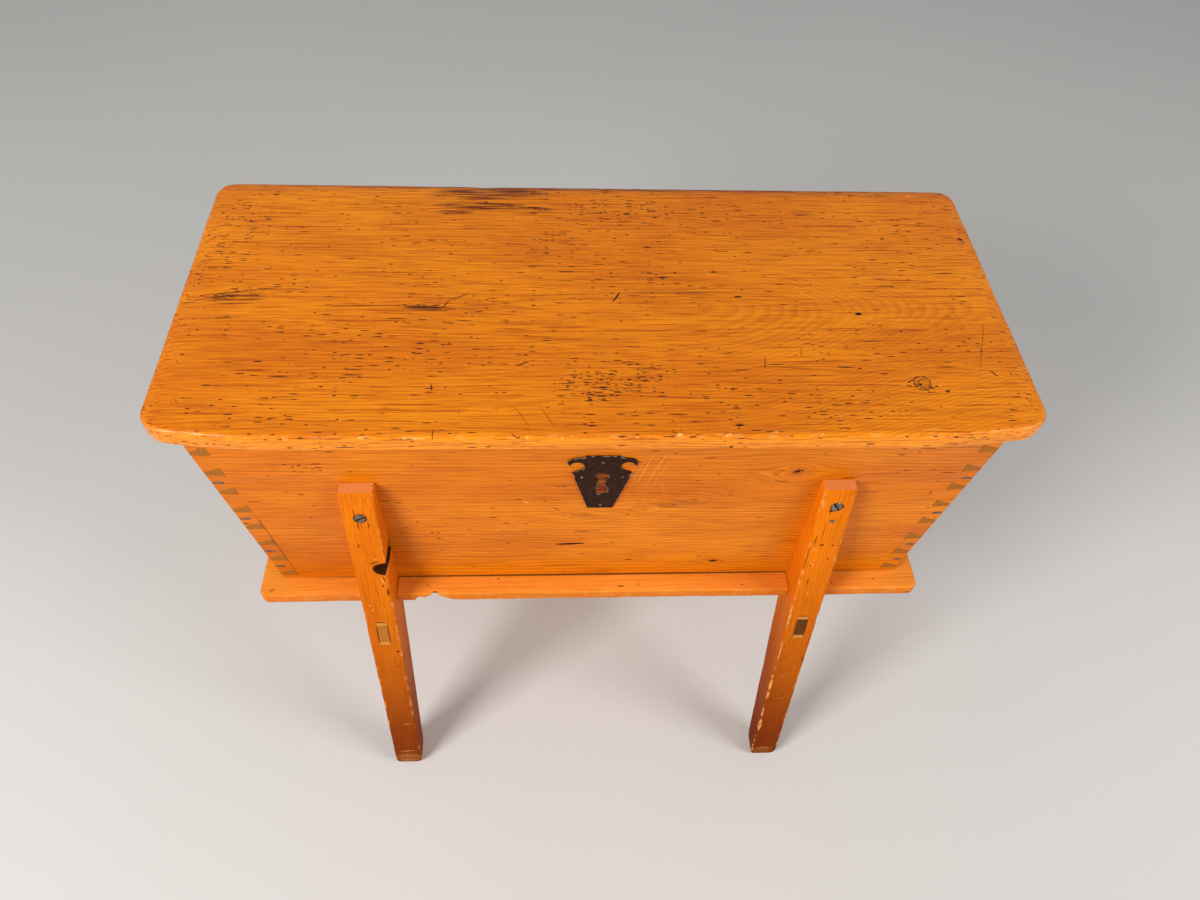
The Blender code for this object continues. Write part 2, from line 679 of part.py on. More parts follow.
def hinge(side, x, back_board, lid, lid_carrier):
    """Strap hinge: a leaf on the back board, a strap under the lid and the pin that joins them."""
    y, z = HINGE_AXIS.y, HINGE_AXIS.z
    bore = (KNUCKLE_BORE, KNUCKLE_BORE)
    outer = (KNUCKLE_RADIUS, KNUCKLE_RADIUS)

    eye = arc((y, z), outer, 90, STRAP_EYE_END, KNUCKLE_STEPS)
    eye += arc((y, z), bore, STRAP_EYE_END, 90, KNUCKLE_STEPS)
    strap_end = y - STRAP_LENGTH
    outline = [(strap_end, z + KNUCKLE_RADIUS), *eye, (strap_end, z + KNUCKLE_BORE)]
    half = STRAP_WIDTH / 2
    strap = make_piece(
        side + "_hinge_strap", prism(outline, x - half, x + half, along_x), DARK_IRON, lid_carrier
    )
    notch_low = z + KNUCKLE_BORE - CLEARANCE
    notch = block(
        (x - half - CLEARANCE, INNER_FACE - BOARD_THICKNESS, notch_low),
        (x + half + CLEARANCE, FACE + BOARD_THICKNESS, BOX_TOP + HINGE_METAL),
    )
    cut(make_cutter(side + "_strap_notch", notch), back_board)

    eye = arc((y, z), outer, 180, LEAF_EYE_END, KNUCKLE_STEPS)
    eye += arc((y, z), bore, LEAF_EYE_END, 180, KNUCKLE_STEPS)
    leaf_foot = z - LEAF_HEIGHT
    outline = [(y - KNUCKLE_RADIUS, leaf_foot), *eye, (y - KNUCKLE_BORE, leaf_foot)]
    leaf_half = LEAF_WIDTH / 2
    leaf = make_piece(
        side + "_hinge_leaf", prism(outline, x - leaf_half, x + leaf_half, along_x), DARK_IRON
    )
    reach = KNUCKLE_RADIUS + HINGE_KNUCKLE_GAP
    gate = block(
        (x - half - HINGE_KNUCKLE_GAP, y - 2 * reach, z - reach),
        (x + half + HINGE_KNUCKLE_GAP, y + 2 * reach, z + 2 * reach),
    )
    cut(make_cutter(side + "_leaf_gate", gate), leaf)

    end = leaf_half + CLEARANCE
    far = end + HINGE_PIN_HEAD_LENGTH
    profile = [
        (0, -far),
        (HINGE_PIN_HEAD_RADIUS, -far),
        (HINGE_PIN_HEAD_RADIUS, -end),
        (HINGE_PIN_RADIUS, -end),
        (HINGE_PIN_RADIUS, end),
        (HINGE_PIN_HEAD_RADIUS, end),
        (HINGE_PIN_HEAD_RADIUS, far),
        (0, far),
    ]
    make_piece(
        side + "_hinge_pin", turned(profile, (x, y, z), (1, 0, 0), SCREW_SEGMENTS), DARK_IRON, smooth=True
    )

    for number, reach in enumerate(STRAP_SCREW_PLACES, 1):
        hole = screw(
            f"{side}_hinge_strap_screw_{number}", (x, y - reach, z + KNUCKLE_BORE), (0, 0, -1), SMALL_SCREW,
            HINGE_METAL + STRAP_SCREW_BITE, SLOT_TURN * number, DARK_IRON, lid_carrier,
        )
        cut(hole, strap, lid)
    for number, offset in enumerate((-LEAF_SCREW_SPACING / 2, LEAF_SCREW_SPACING / 2), 1):
        hole = screw(
            f"{side}_hinge_leaf_screw_{number}", (x + offset, y - KNUCKLE_BORE, z - LEAF_SCREW_DROP),
            (0, 1, 0), SMALL_SCREW, HINGE_METAL + LEAF_SCREW_BITE, SLOT_TURN * number, DARK_IRON,
        )
        cut(hole, leaf, back_board)


def lid_batten(side, x, lid, lid_carrier):
    """Cross batten under the lid, held by a screw near each end."""
    top = LID_LOW - CLEARANCE
    low = top - BATTEN_THICKNESS
    end = INNER_FACE - BATTEN_END_GAP
    half = BATTEN_WIDTH / 2
    name = side + "_lid_batten"
    batten = make_piece(name, block((x - half, -end, low), (x + half, end, top)), PINE, lid_carrier)
    for face, sign in FACES:
        hole = screw(
            f"{name}_{face}_screw", (x, sign * (end - BATTEN_SCREW_INSET), low), (0, 0, -1), SMALL_SCREW,
            BATTEN_THICKNESS + BATTEN_SCREW_BITE, SLOT_TURN * sign, SCREW_STEEL, lid_carrier,
        )
        cut(hole, batten, lid)


def build_box():
    """Four dovetailed boards on the notched bottom board; gives the boards by name."""
    boards = {}
    for face, sign in FACES:
        boards[face] = long_board(face + "_board", sign)
    for side, sign in SIDES:
        boards[side] = end_board(side + "_end_board", sign)
    boards["bottom"] = make_piece(
        "bottom_board",
        rounded_slab(
            end_line(BOX_LOW) + BOTTOM_LIP, FACE + BOTTOM_LIP, BOTTOM_CORNER_RADIUS, BOTTOM_CORNER_RADIUS,
            STAND_HEIGHT, BOTTOM_TOP, BOTTOM_TOP_ROUND, BOTTOM_UNDER_ROUND,
        ),
        PINE,
        smooth=True,
    )
    for side, sign in SIDES:
        for number, tail in enumerate(NAILED_TAILS, 1):
            place = pin_tip(tail + 0.5) + END_IN * CORNER_NAIL_INSET
            hole = corner_nail(f"front_{side}_corner_nail_{number}", sign * place.x, place.y)
            cut(hole, boards["front"], boards[side])
    return boards


def build_stand(boards):
    """Four legs, the bearers between them, their wedges and the screws into the box."""
    screw_drops = {"left": LEFT_LEG_SCREW_DROP, "right": RIGHT_LEG_SCREW_DROP}
    for side, side_sign in SIDES:
        x = side_sign * LEG_SPACING / 2
        bearer(side + "_bearer", x)
        for face, sign in FACES:
            name = f"{face}_{side}_leg"
            piece = leg(name, x, sign)
            cut(mortise(name + "_mortise", x, sign), piece)
            wedge(f"{face}_{side}_upper_wedge", x, sign, 1)
            wedge(f"{face}_{side}_lower_wedge", x, sign, -1)
            half = LEG_WIDTH / 2 + LEG_NOTCH_GAP
            near, far = sorted((sign * FACE, sign * (FACE + 2 * BOTTOM_LIP)))
            notch = block((x - half, near, 0), (x + half, far, LEG_TOP))
            cut(make_cutter(name + "_notch", notch), boards["bottom"])
            outward = (0, sign * math.cos(LEG_LEAN), math.sin(LEG_LEAN))
            height = LEG_TOP - screw_drops[side]
            length = leg_front(height) - FACE + LEG_SCREW_BITE
            hole = screw(
                name + "_screw", (x, sign * leg_front(height), height), outward, LEG_SCREW, length,
                SLOT_TURN * side_sign, SCREW_STEEL,
            )
            cut(hole, piece, boards[face])
            if name == "front_right_leg":
                height = LEG_TOP - LEG_NAIL_DROP
                point = (x, sign * leg_front(height), height)
                length = leg_front(height) - FACE + LEG_NAIL_BITE
                cut(leg_nail(name + "_nail", point, outward, length), piece, boards[face])
            if name == "front_left_leg":
                cut(knot_hole(name + "_knot_hole", x), piece)


def build_lid(boards):
    """Lid, battens and hinges; everything that swings hangs from the hinge axis."""
    carrier = bpy.data.objects.new("lid_hinge_axis", None)
    carrier.location = HINGE_AXIS
    bpy.context.scene.collection.objects.link(carrier)
    lid = make_piece(
        "lid",
        rounded_slab(
            BOX_TOP_LENGTH / 2 + LID_END_OVERHANG, FACE + LID_OVERHANG,
            LID_FRONT_CORNER_RADIUS, LID_BACK_CORNER_RADIUS,
            LID_LOW, LID_LOW + LID_THICKNESS, LID_TOP_ROUND, LID_UNDER_ROUND,
            bow=(LID_FRONT_BOW, LID_FRONT_BOW_LENGTH),
        ),
        LID_PINE,
        carrier,
        smooth=True,
    )
    for side, sign in SIDES:
        lid_batten(side, sign * BATTEN_SPACING / 2, lid, carrier)
        hinge(side, sign * HINGE_SPACING / 2, boards["back"], lid, carrier)


def build():
    clear_scene()
    boards = build_box()
    build_stand(boards)
    escutcheon(boards["front"])
    build_lid(boards)


build()
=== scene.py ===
"""Looks of the dough box on stand: worn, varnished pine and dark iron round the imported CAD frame.

Metres, +Z up, front towards -Y, as in the CAD model.
"""
from math import atan, copysign, cos, hypot, pi, radians, sin, sqrt, tan, tau

import bmesh
import bpy
from mathutils import Matrix, Vector, noise


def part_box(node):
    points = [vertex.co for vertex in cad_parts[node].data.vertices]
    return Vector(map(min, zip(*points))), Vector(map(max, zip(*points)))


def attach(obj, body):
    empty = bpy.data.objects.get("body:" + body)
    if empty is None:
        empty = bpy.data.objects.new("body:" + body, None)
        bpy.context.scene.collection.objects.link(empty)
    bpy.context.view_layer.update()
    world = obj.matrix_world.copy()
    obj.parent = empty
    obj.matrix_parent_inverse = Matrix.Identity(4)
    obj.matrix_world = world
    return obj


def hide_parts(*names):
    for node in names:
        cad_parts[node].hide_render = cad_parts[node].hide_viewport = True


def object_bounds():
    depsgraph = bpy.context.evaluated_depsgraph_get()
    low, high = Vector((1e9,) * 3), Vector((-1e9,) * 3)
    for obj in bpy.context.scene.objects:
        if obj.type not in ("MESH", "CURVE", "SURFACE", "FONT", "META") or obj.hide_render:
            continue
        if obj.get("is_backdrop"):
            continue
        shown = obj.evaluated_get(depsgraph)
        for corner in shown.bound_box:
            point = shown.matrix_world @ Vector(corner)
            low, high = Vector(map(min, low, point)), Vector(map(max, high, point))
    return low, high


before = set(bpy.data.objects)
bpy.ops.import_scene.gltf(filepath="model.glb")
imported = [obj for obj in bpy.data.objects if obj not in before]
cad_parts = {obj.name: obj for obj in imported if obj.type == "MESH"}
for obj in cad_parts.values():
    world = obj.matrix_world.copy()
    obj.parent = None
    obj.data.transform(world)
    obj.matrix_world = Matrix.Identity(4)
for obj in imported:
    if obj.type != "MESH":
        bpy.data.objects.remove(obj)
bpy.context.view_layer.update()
scene = bpy.context.scene

# Camera, solved from the photograph's straight edges
CAMERA_PLACE = Vector((-0.0657, -0.827, 1.4957))
CAMERA_PITCH = radians(52.045)
CAMERA_YAW = radians(5.474)
CAMERA_ROLL = radians(4.057)
CAMERA_LENS = 27.353  # on a 36 mm sensor

# Sizes that the frame gives
LID_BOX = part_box("lid")
FRONT_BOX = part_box("front_board")
BOTTOM_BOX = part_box("bottom_board")
LEG_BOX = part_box("front_right_leg")
FACE = -FRONT_BOX[0].y
INNER_FACE = -FRONT_BOX[1].y
BOX_LOW, BOX_TOP = FRONT_BOX[0].z, FRONT_BOX[1].z
BOX_HALF_TOP = FRONT_BOX[1].x
END_CANT = tan(radians(8.7))
LEG_TOP = LEG_BOX[1].z
LEG_X = (LEG_BOX[0].x + LEG_BOX[1].x) / 2
LEG_WIDTH = LEG_BOX[1].x - LEG_BOX[0].x
LEG_FOOT_FRONT = -LEG_BOX[0].y
LEG_PROUD, LEG_FOOT_DEPTH, LEG_SHOULDER_DEPTH, LEG_GAP = 0.016, 0.031, 0.006, 0.0003
LEG_TOP_FRONT = FACE + LEG_PROUD
LEG_FOOT_BACK = LEG_FOOT_FRONT - LEG_FOOT_DEPTH
LEG_SHOULDER_BACK = FACE - LEG_SHOULDER_DEPTH
LEG_SHOULDER = BOTTOM_BOX[0].z - LEG_GAP
LEG_RUN = LEG_FOOT_FRONT - LEG_TOP_FRONT
LEG_SLOPE = atan(LEG_RUN / LEG_TOP)
GRAIN_LEAN = radians(12)

# Colours, linear
# The lid's side colour is a painted lighter band on its upright edge
LID_PINE = {
    "pale": (0.95, 0.29, 0.004), "honey": (0.8, 0.208, 0.003), "late": (0.54, 0.108, 0.002),
    "line": (0.32, 0.03, 0.002), "dirt_and_shade": (0.02, 0.005, 0.002), "light": (0.92, 0.52, 0.17),
    "end": (0.42, 0.14, 0.014), "end_dark": (0.15, 0.045, 0.008), "raw": (0.47, 0.235, 0.085),
    "stain_and_shade": (0.15, 0.022, 0.002), "side": (0.93, 0.31, 0.008),
}
BOX_PINE = dict(
    LID_PINE, pale=(0.83, 0.24, 0.004), honey=(0.66, 0.157, 0.003), late=(0.47, 0.092, 0.002),
    line=(0.3, 0.032, 0.002), side=None,
)
# The lip's side colour, darker than its top, is painted shade on its front face
LIP_PINE = dict(
    LID_PINE, pale=(0.9, 0.32, 0.042), honey=(0.79, 0.245, 0.026), late=(0.6, 0.15, 0.012),
    line=(0.42, 0.08, 0.005), side=(0.66, 0.125, 0.002),
)
# Leg colours darken towards the foot, in part as painted shade
LEG_PINE = dict(
    LID_PINE, pale=(0.84, 0.205, 0.004), honey=(0.65, 0.138, 0.003), late=(0.45, 0.08, 0.002),
    line=(0.22, 0.026, 0.002), light=(0.84, 0.37, 0.1), end=(0.72, 0.25, 0.068), end_dark=(0.52, 0.165, 0.04),
    shaded_foot_pale=(0.2, 0.03, 0.001), shaded_foot_honey=(0.14, 0.018, 0.001), side=None,
)
WEDGE_PINE = dict(LEG_PINE, end=(0.64, 0.26, 0.04), end_dark=(0.36, 0.12, 0.016))
# Metal tones are (skin, rust, rubbed glint): the third is rubbed metal and painted glints on edges and specks
IRON = ((0.026, 0.007, 0.003), (0.05, 0.016, 0.007), (0.62, 0.56, 0.5))
NAIL_IRON = ((0.042, 0.024, 0.014), (0.066, 0.032, 0.015), (0.7, 0.62, 0.53))
STEEL = ((0.13, 0.092, 0.062), (0.12, 0.072, 0.042), (0.76, 0.67, 0.57))
# Painted shade in the bottom of a screw's slot
SLOT_SHADE = (0.006, 0.004, 0.003)

X, Y, Z = (1, 0, 0), (0, 1, 0), (0, 0, 1)
FRONTWARD, DOWN = (0, -1, 0), (0, 0, -1)
STAND, LID = "box_and_stand", "lid"
SIDES = (("left", -1), ("right", 1))

# Worn dashes are (cells a metre, share, size in cells)
DASH_SETS = (((125, 405, 405), 1.0, 0.36), ((62, 495, 495), 0.8, 0.4), ((25, 405, 405), 0.3, 0.34))
RAGGED = 0.0016
DEEP_STRENGTH = 0.95


def mm(*marks, at=(0, 0)):
    """Marks in metres and shares of 1 from marks in millimetres and percents, about a point in metres.

    A mark is (across, up or back, half length, half width, strength, solid share), and an angle in degrees.
    """
    return [
        (at[0] + a / 1000, at[1] + b / 1000, c / 1000, d / 1000, *(angle or [0]), strength / 100, solid / 100)
        for a, b, c, d, strength, solid, *angle in marks
    ]


def operator(operation):
    """Method that adds a Math node after a value."""
    return lambda value, *others: value.graph.math(operation, value, *others)


class Value:
    """An output of a shader node, with arithmetic that adds Math nodes; | gives the larger of two."""

    def __init__(self, graph, socket):
        self.graph = graph
        self.socket = socket

    def __rsub__(self, other):
        return self.graph.math("SUBTRACT", other, self)

    __add__, __sub__ = operator("ADD"), operator("SUBTRACT")
    __mul__, __truediv__ = operator("MULTIPLY"), operator("DIVIDE")
    __abs__, __or__ = operator("ABSOLUTE"), operator("MAXIMUM")


class Graph:
    """A node material and short ways of adding nodes to it."""

    def __init__(self, name):
        self.material = bpy.data.materials.new(name)
        self.material.use_nodes = True
        self.tree = self.material.node_tree
        self.shader = self.tree.nodes["Principled BSDF"]
        place = self.tree.nodes.new("ShaderNodeTexCoord")
        self.spot = Value(self, place.outputs["Object"])
        self.normal = Value(self, place.outputs["Normal"])

    def feed(self, socket, value):
        if isinstance(value, Value):
            self.tree.links.new(value.socket, socket)
        elif socket.type == "RGBA":
            socket.default_value = (*value, 1.0)
        else:
            socket.default_value = value

    def node(self, kind, inputs, output=0, **settings):
        made = self.tree.nodes.new("ShaderNode" + kind)
        for key, value in settings.items():
            setattr(made, key, value)
        for key, value in inputs.items():
            self.feed(made.inputs[key], value)
        return Value(self, made.outputs[output])

    def math(self, operation, *values):
        return self.node("Math", dict(enumerate(values)), operation=operation)

    def vector(self, operation, *values):
        output = "Value" if operation in ("LENGTH", "DOT_PRODUCT") else "Vector"
        return self.node("VectorMath", dict(enumerate(values)), output, operation=operation)

    def smooth(self, value, low, high):
        """Rises smoothly from 0 at low to 1 at high; low may lie above high."""
        ends = {"Value": value, "From Min": low, "From Max": high}
        return self.node("MapRange", ends, interpolation_type="SMOOTHSTEP")

    def scaled(self, at, scale):
        return self.vector("MULTIPLY", at, scale if isinstance(scale, tuple) else (scale,) * 3)

    def stored(self, name):
        """Value stored on the mesh."""
        return self.node("Attribute", {}, "Fac", attribute_name=name)

    def noise(self, at, scale, detail=2.0, roughness=0.5, output=0):
        inputs = {"Vector": self.scaled(at, scale), "Scale": 1.0, "Detail": detail, "Roughness": roughness}
        return self.node("TexNoise", inputs, output)

    def cells(self, at, scale):
        """Distance to the nearest of scattered points, and a random number for that point."""
        distance = self.node("TexVoronoi", {"Vector": self.scaled(at, scale), "Scale": 1.0})
        colour = Value(self, distance.socket.node.outputs["Color"])
        return distance, self.vector("DOT_PRODUCT", colour, X)

    def mix(self, amount, first, second):
        return self.node("Mix", {0: amount, 6: first, 7: second}, 2, data_type="RGBA")

    def dot(self, at, axis):
        return self.vector("DOT_PRODUCT", at, tuple(axis))

    def oval(self, at, plane, mark):
        """Square of how far out a point lies in an oval on a plane: 0 at its middle, 1 on its rim."""
        def flat(a, b):
            return (a, b, 0) if plane == "xy" else (a, 0, b)

        u, v, half_length, half_width, angle = mark[:5]
        c, s = cos(radians(angle)), sin(radians(angle))
        away = self.vector("SUBTRACT", at, flat(u, v))
        first = self.dot(away, flat(c / half_length, s / half_length))
        second = self.dot(away, flat(-s / half_width, c / half_width))
        return self.math("MULTIPLY_ADD", first, first, second * second)

    def blots(self, at, plane, marks, crisp=0.0):
        """Strength of the strongest mark at a point."""
        result = None
        for mark in marks:
            strength, solid = mark[5:]
            core = (crisp + (1 - crisp) * solid) ** 2
            found = self.smooth(self.oval(at, plane, mark), 1.0, core) * strength
            result = result | found if result else found
        return result

    def rims(self, at, plane, rings):
        """Strength of the strongest oval line at a point; the lines are broken here and there."""
        result = None
        for ring in rings:
            away = abs(self.oval(at, plane, ring) - 1.0)
            found = self.smooth(away, 2 * ring[6], 0.1) * ring[5]
            result = result | found if result else found
        return result * self.smooth(self.noise(at, 330, 1.0), 0.36, 0.5)

    def finish(self, colour, roughness, height, depth, **fixed):
        """Feeds the shader; depth is the bump's full height in metres."""
        bump = self.node("Bump", {"Height": height, "Distance": depth, "Strength": 1.0})
        for name, value in {"Base Color": colour, "Roughness": roughness, "Normal": bump, **fixed}.items():
            self.feed(self.shader.inputs[name], value)
        return self.material


def wood(
    name, palette, along, across, pith, ring, seed=0.0, knots=(), ramp=None, plane="xy", face=Z, marks=(),
    scars=(), stains_and_shade=(), circles=(), shaded_pits=(), clusters=(), dashes=0.05, wear=0.0, grime=0.0, gloss=0.3,
    raw=None, raw_half=(), coat=0.0, figure=0.2, streaks=0.65, thread=330, scratches=0.0, specular=0.12,
):
    """Old varnished pine with its grain along one axis of the part."""
    g = Graph(name)
    depth = Vector(along).cross(Vector(across))
    u, v, w = (g.dot(g.spot, axis) for axis in (along, across, depth))
    for knot_u, knot_v, reach in knots:
        du = (u - knot_u) * 0.5
        dv = v - knot_v
        v = v - dv * reach**2 / (du * du + dv * dv + reach**2 * 0.3)
    grain = g.node("CombineXYZ", {0: u + seed, 1: v, 2: w})
    wander = g.noise(grain, (1.6, 7, 7), output=1)
    bent = g.vector("MULTIPLY_ADD", wander, (0, 0.022, 0.022), grain)
    ripple = g.noise(grain, (14, 40, 40), output=1)
    bent = g.vector("MULTIPLY_ADD", ripple, (0, 0.0024, 0.0024), bent)

    # Growth rings about the tree's middle, which lies outside the board
    from_pith = g.vector("MULTIPLY", g.vector("SUBTRACT", bent, (0, *pith)), (0, 1, 1))
    radius = g.vector("LENGTH", from_pith) + u * 0.012 + g.noise(grain, (5, 22, 22)) * 0.008
    if ramp:
        radius = radius + g.smooth(u, *ramp[:2]) * ramp[2]
    turn = g.math("FRACT", radius * (1 / ring))
    broken = g.smooth(g.noise(grain, (8, 28, 28)), 0.32, 0.6) * 0.8 + 0.2
    late = g.smooth(turn, 0.15, 0.8) * g.smooth(turn, 1.0, 0.82) * broken
    facing = g.smooth(g.dot(g.normal, face), 0.15, 0.55)
    if ramp:
        late = late * facing
    if raw:
        bare = g.smooth(g.dot(g.normal, raw), 0.4, 0.7)
        for axis, half in raw_half:
            bare = bare * g.smooth(abs(g.dot(g.spot, axis)), half, half - 0.001)

    # Fibres, dark grain lines and short worn dashes
    fine = g.noise(bent, (22, 1300, 1300))
    broad = g.noise(bent, (15, thread, thread), 3.0, 0.66)
    patch = g.smooth(g.noise(grain, (3.6, 13, 13), 3.0), 0.3, 0.72)
    hairs = g.smooth(g.noise(bent, (6, thread * 1.2, thread * 1.2)), 0.595, 0.635)
    lines = g.smooth(broad, 0.47, 0.66) * 0.4 + g.smooth(fine, 0.5, 0.66) * 0.42 + hairs * 0.45
    crowd = g.smooth(g.noise(grain, (5, 13, 13)), 0.42, 0.72) + 0.3
    if clusters:
        crowd = crowd + g.blots(g.spot, plane, clusters) * facing * 6.0
    dash = None
    for scale, share, size in DASH_SETS:
        distance, chance = g.cells(bent, scale)
        chosen = g.math("GREATER_THAN", chance, 1.0 - crowd * (dashes * share))
        found = g.smooth(distance, size, size * 0.7) * chosen
        dash = dash | found if dash else found
    if scratches:
        outer = g.smooth(abs(g.dot(g.spot, X)), 0.34, 0.47)
        outer = outer | g.smooth(g.dot(g.spot, Y), 0.08, 0.2)
        for angle in (35, -55):
            inputs = {"Vector": g.spot, "Rotation": (0, 0, radians(angle))}
            slanting = g.node("Mapping", inputs, vector_type="TEXTURE")
            distance, chance = g.cells(slanting, (55, 620, 620))
            chosen = g.math("GREATER_THAN", chance, 1.0 - outer * scratches)
            dash = dash | g.smooth(distance, 0.34, 0.2) * chosen * 0.7
    if raw:
        dash = dash * (1.0 - bare * 0.75)

    # Marks that the photograph shows, ragged by a little noise
    shaken = g.noise(g.spot, 260, output=1)
    ragged = g.vector("MULTIPLY_ADD", shaken, (RAGGED,) * 3, g.spot)
    ragged = g.vector("SUBTRACT", ragged, (RAGGED / 2,) * 3)
    dark = dash
    if marks:
        dark = dark | g.blots(ragged, plane, marks, 0.4) * facing
    if circles:
        dark = dark | g.rims(ragged, plane, circles) * facing
    # Pits darken faces of every way: dark wood and painted shade in hollows
    if shaded_pits:
        dark = dark | g.blots(ragged, plane, shaded_pits, 0.4)

    pale, honey = palette["pale"], palette["honey"]
    # Darker towards the foot, in part painted shade
    if "shaded_foot_pale" in palette:
        level = g.smooth(g.dot(g.spot, Z), 0.0, 0.52)
        pale = g.mix(level, palette["shaded_foot_pale"], pale)
        honey = g.mix(level, palette["shaded_foot_honey"], honey)
    colour = g.mix(patch, pale, honey)
    # Faces that stand up take the palette's side colour: a painted lit band on the lid's edge, painted shade
    # on the lip's front
    if palette["side"]:
        side = g.smooth(abs(g.dot(g.normal, Z)), 0.9, 0.45)
        colour = g.mix(side * 0.6, colour, palette["side"])
    colour = g.mix(late * figure, colour, palette["late"])
    colour = g.mix(g.math("MINIMUM", lines * streaks, 1.0), colour, palette["line"])
    # Real stains, and painted shade laid on as stain marks: the lid's back edge, the keyhole and round the
    # plate
    if stains_and_shade:
        stain_and_shade_share = g.blots(ragged, plane, stains_and_shade) * (g.smooth(broad, 0.42, 0.58) * 0.8 + 0.2)
        colour = g.mix(stain_and_shade_share * facing, colour, palette["stain_and_shade"])
    end = g.smooth(abs(g.dot(g.normal, along)), 0.55, 0.85)
    speckle = g.smooth(g.noise(g.spot, 900), 0.4, 0.7)
    end_colour = g.mix(late * 0.2 + speckle * 0.45, palette["end"], palette["end_dark"])
    colour = g.mix(end, colour, end_colour)
    rough = patch * 0.1 + lines * 0.1 + end * 0.18 + gloss
    if raw:
        raw_colour = g.mix(lines * 0.4 + late * 0.2, palette["raw"], palette["line"])
        colour = g.mix(bare * 0.8, colour, raw_colour)
        rough = rough + bare * 0.3
    height = g.noise(g.spot, 16) * 0.9 - fine * 0.12 - broad * 0.2
    if wear or grime:
        rim = g.stored("edge")
    if wear:
        worn = g.noise(g.spot, 60, 4.0, 0.65) + rim * 0.2
        rubbed = g.smooth(worn, 0.66, 0.8) * g.smooth(rim, 0.3, 0.8)
        colour = g.mix(rubbed * wear, colour, palette["light"])
        height = height - rubbed * 0.25
        rough = rough + rubbed * 0.15
    if scars:
        flecks = g.smooth(g.noise(g.spot, (420, 420, 300)), 0.36, 0.5)
        colour = g.mix(g.blots(ragged, plane, scars, 0.5) * facing * flecks, colour, palette["light"])
    if grime:
        dark = dark | g.smooth(rim, 0.02, 0.6) * grime
    # Dark marks, dashes, dirt and dark joints; painted shade from the shaded pits and the foot crease lines
    # is laid on here too
    colour = g.mix(dark, colour, palette["dirt_and_shade"])
    deep = [mark for mark in marks if mark[5] >= DEEP_STRENGTH]
    if deep:
        height = height - g.blots(ragged, plane, deep, 0.4) * facing * 1.6
    rough = g.math("MINIMUM", rough + dark * 0.3, 0.9)
    fixed = {"Coat Weight": coat, "Coat Roughness": 0.12, "Specular IOR Level": specular}
    return g.finish(colour, rough, height, 0.0007, **fixed)


def metal(name, tones, scale=1.0, gloss=0.42, shine=0.75, glint=0.58, specular=0.25):
    """Old iron or steel: dark skin, rust, brighter rubbed places and edges with painted glints, and painted
    shade in a screw's slot.
    """
    skin, rust, rubbed_glint = tones
    g = Graph(name)
    rim = g.stored("edge")
    slot = g.stored("slot")
    blotch = g.noise(g.spot, 140 * scale, 4.0, 0.6)
    grit = g.noise(g.spot, 900 * scale, 3.0, 0.6)
    beaten, _ = g.cells(g.spot, 95 * scale)
    # Glinting specks and edges: rubbed metal, with painted glints in the rubbed_glint tone
    rubbed = g.smooth(grit, glint, glint + 0.14) * g.smooth(blotch, 0.62, 0.4) * 0.8
    rubbed = rubbed | g.smooth(rim, 0.1, 0.8) * g.smooth(blotch, 0.46, 0.6)
    colour = g.mix(g.smooth(blotch, 0.45, 0.68), skin, rust)
    colour = g.mix(rubbed, colour, rubbed_glint)
    # Painted shade in the bottom of the screw's slot
    colour = g.mix(slot, colour, SLOT_SHADE)
    rough = blotch * 0.3 - rubbed * 0.12 + gloss - 0.1
    height = blotch * 0.5 + grit * 0.25 + beaten * 0.5
    return g.finish(colour, rough, height, 0.0004, **{"Metallic": shine, "Specular IOR Level": specular})


def end_line(height):
    """Outer face of the right end board at a height."""
    return BOX_HALF_TOP - (BOX_TOP - height) * END_CANT


def leg_front(height):
    return LEG_TOP_FRONT + LEG_RUN * (LEG_TOP - height) / LEG_TOP


def leg_back(height):
    return LEG_FOOT_BACK + (LEG_SHOULDER_BACK - LEG_FOOT_BACK) * min(height / LEG_SHOULDER, 1.0)


def leg_spot(leg_x, sign, height):
    """Point on the middle line of a leg's outer face."""
    return leg_x, sign * leg_front(height), height


def leg_outward(sign):
    """Direction out of a leg's outer face."""
    return 0, sign * cos(LEG_SLOPE), sin(LEG_SLOPE)


def rough_noise(point, scale):
    """Smooth noise from -1 to 1 at a number of waves per metre."""
    return noise.noise(Vector(point) * scale)


def add(name, data):
    """Puts a new object into the scene."""
    made = bpy.data.objects.new(name, data)
    scene.collection.objects.link(made)
    return made


def settle(name, solid):
    """Object made of a bmesh, which is freed."""
    bmesh.ops.recalc_face_normals(solid, faces=solid.faces)
    mesh = bpy.data.meshes.new(name)
    solid.to_mesh(mesh)
    solid.free()
    return add(name, mesh)


def put(name, solid, material, node, body=STAND, sharp=40):
    """Turns a bmesh into a piece that rides on a body and stands for a CAD node."""
    piece = settle(name, solid)
    piece.data.materials.append(material)
    piece.data.shade_smooth()
    piece.data.set_sharp_from_angle(angle=radians(sharp))
    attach(piece, body)
    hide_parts(node)


def carve(solid, cutters):
    """Cuts closed bmeshes out of a bmesh and gives the rest."""
    body = settle("loose", solid)
    tools = [settle("loose", cutter) for cutter in cutters]
    for tool in tools:
        step = body.modifiers.new("cut", "BOOLEAN")
        step.operation = "DIFFERENCE"
        step.solver = "EXACT"
        step.object = tool
    done = body.evaluated_get(bpy.context.evaluated_depsgraph_get())
    result = bmesh.new()
    result.from_mesh(done.to_mesh())
    done.to_mesh_clear()
    for item in (body, *tools):
        mesh = item.data
        bpy.data.objects.remove(item)
        bpy.data.meshes.remove(mesh)
    return result


def mark_edges(solid, share, name="edge"):
    """Stores a value from 0 to 1 on each vertex."""
    layer = solid.verts.layers.float.new(name)
    for vertex in solid.verts:
        vertex[layer] = share(vertex.co)


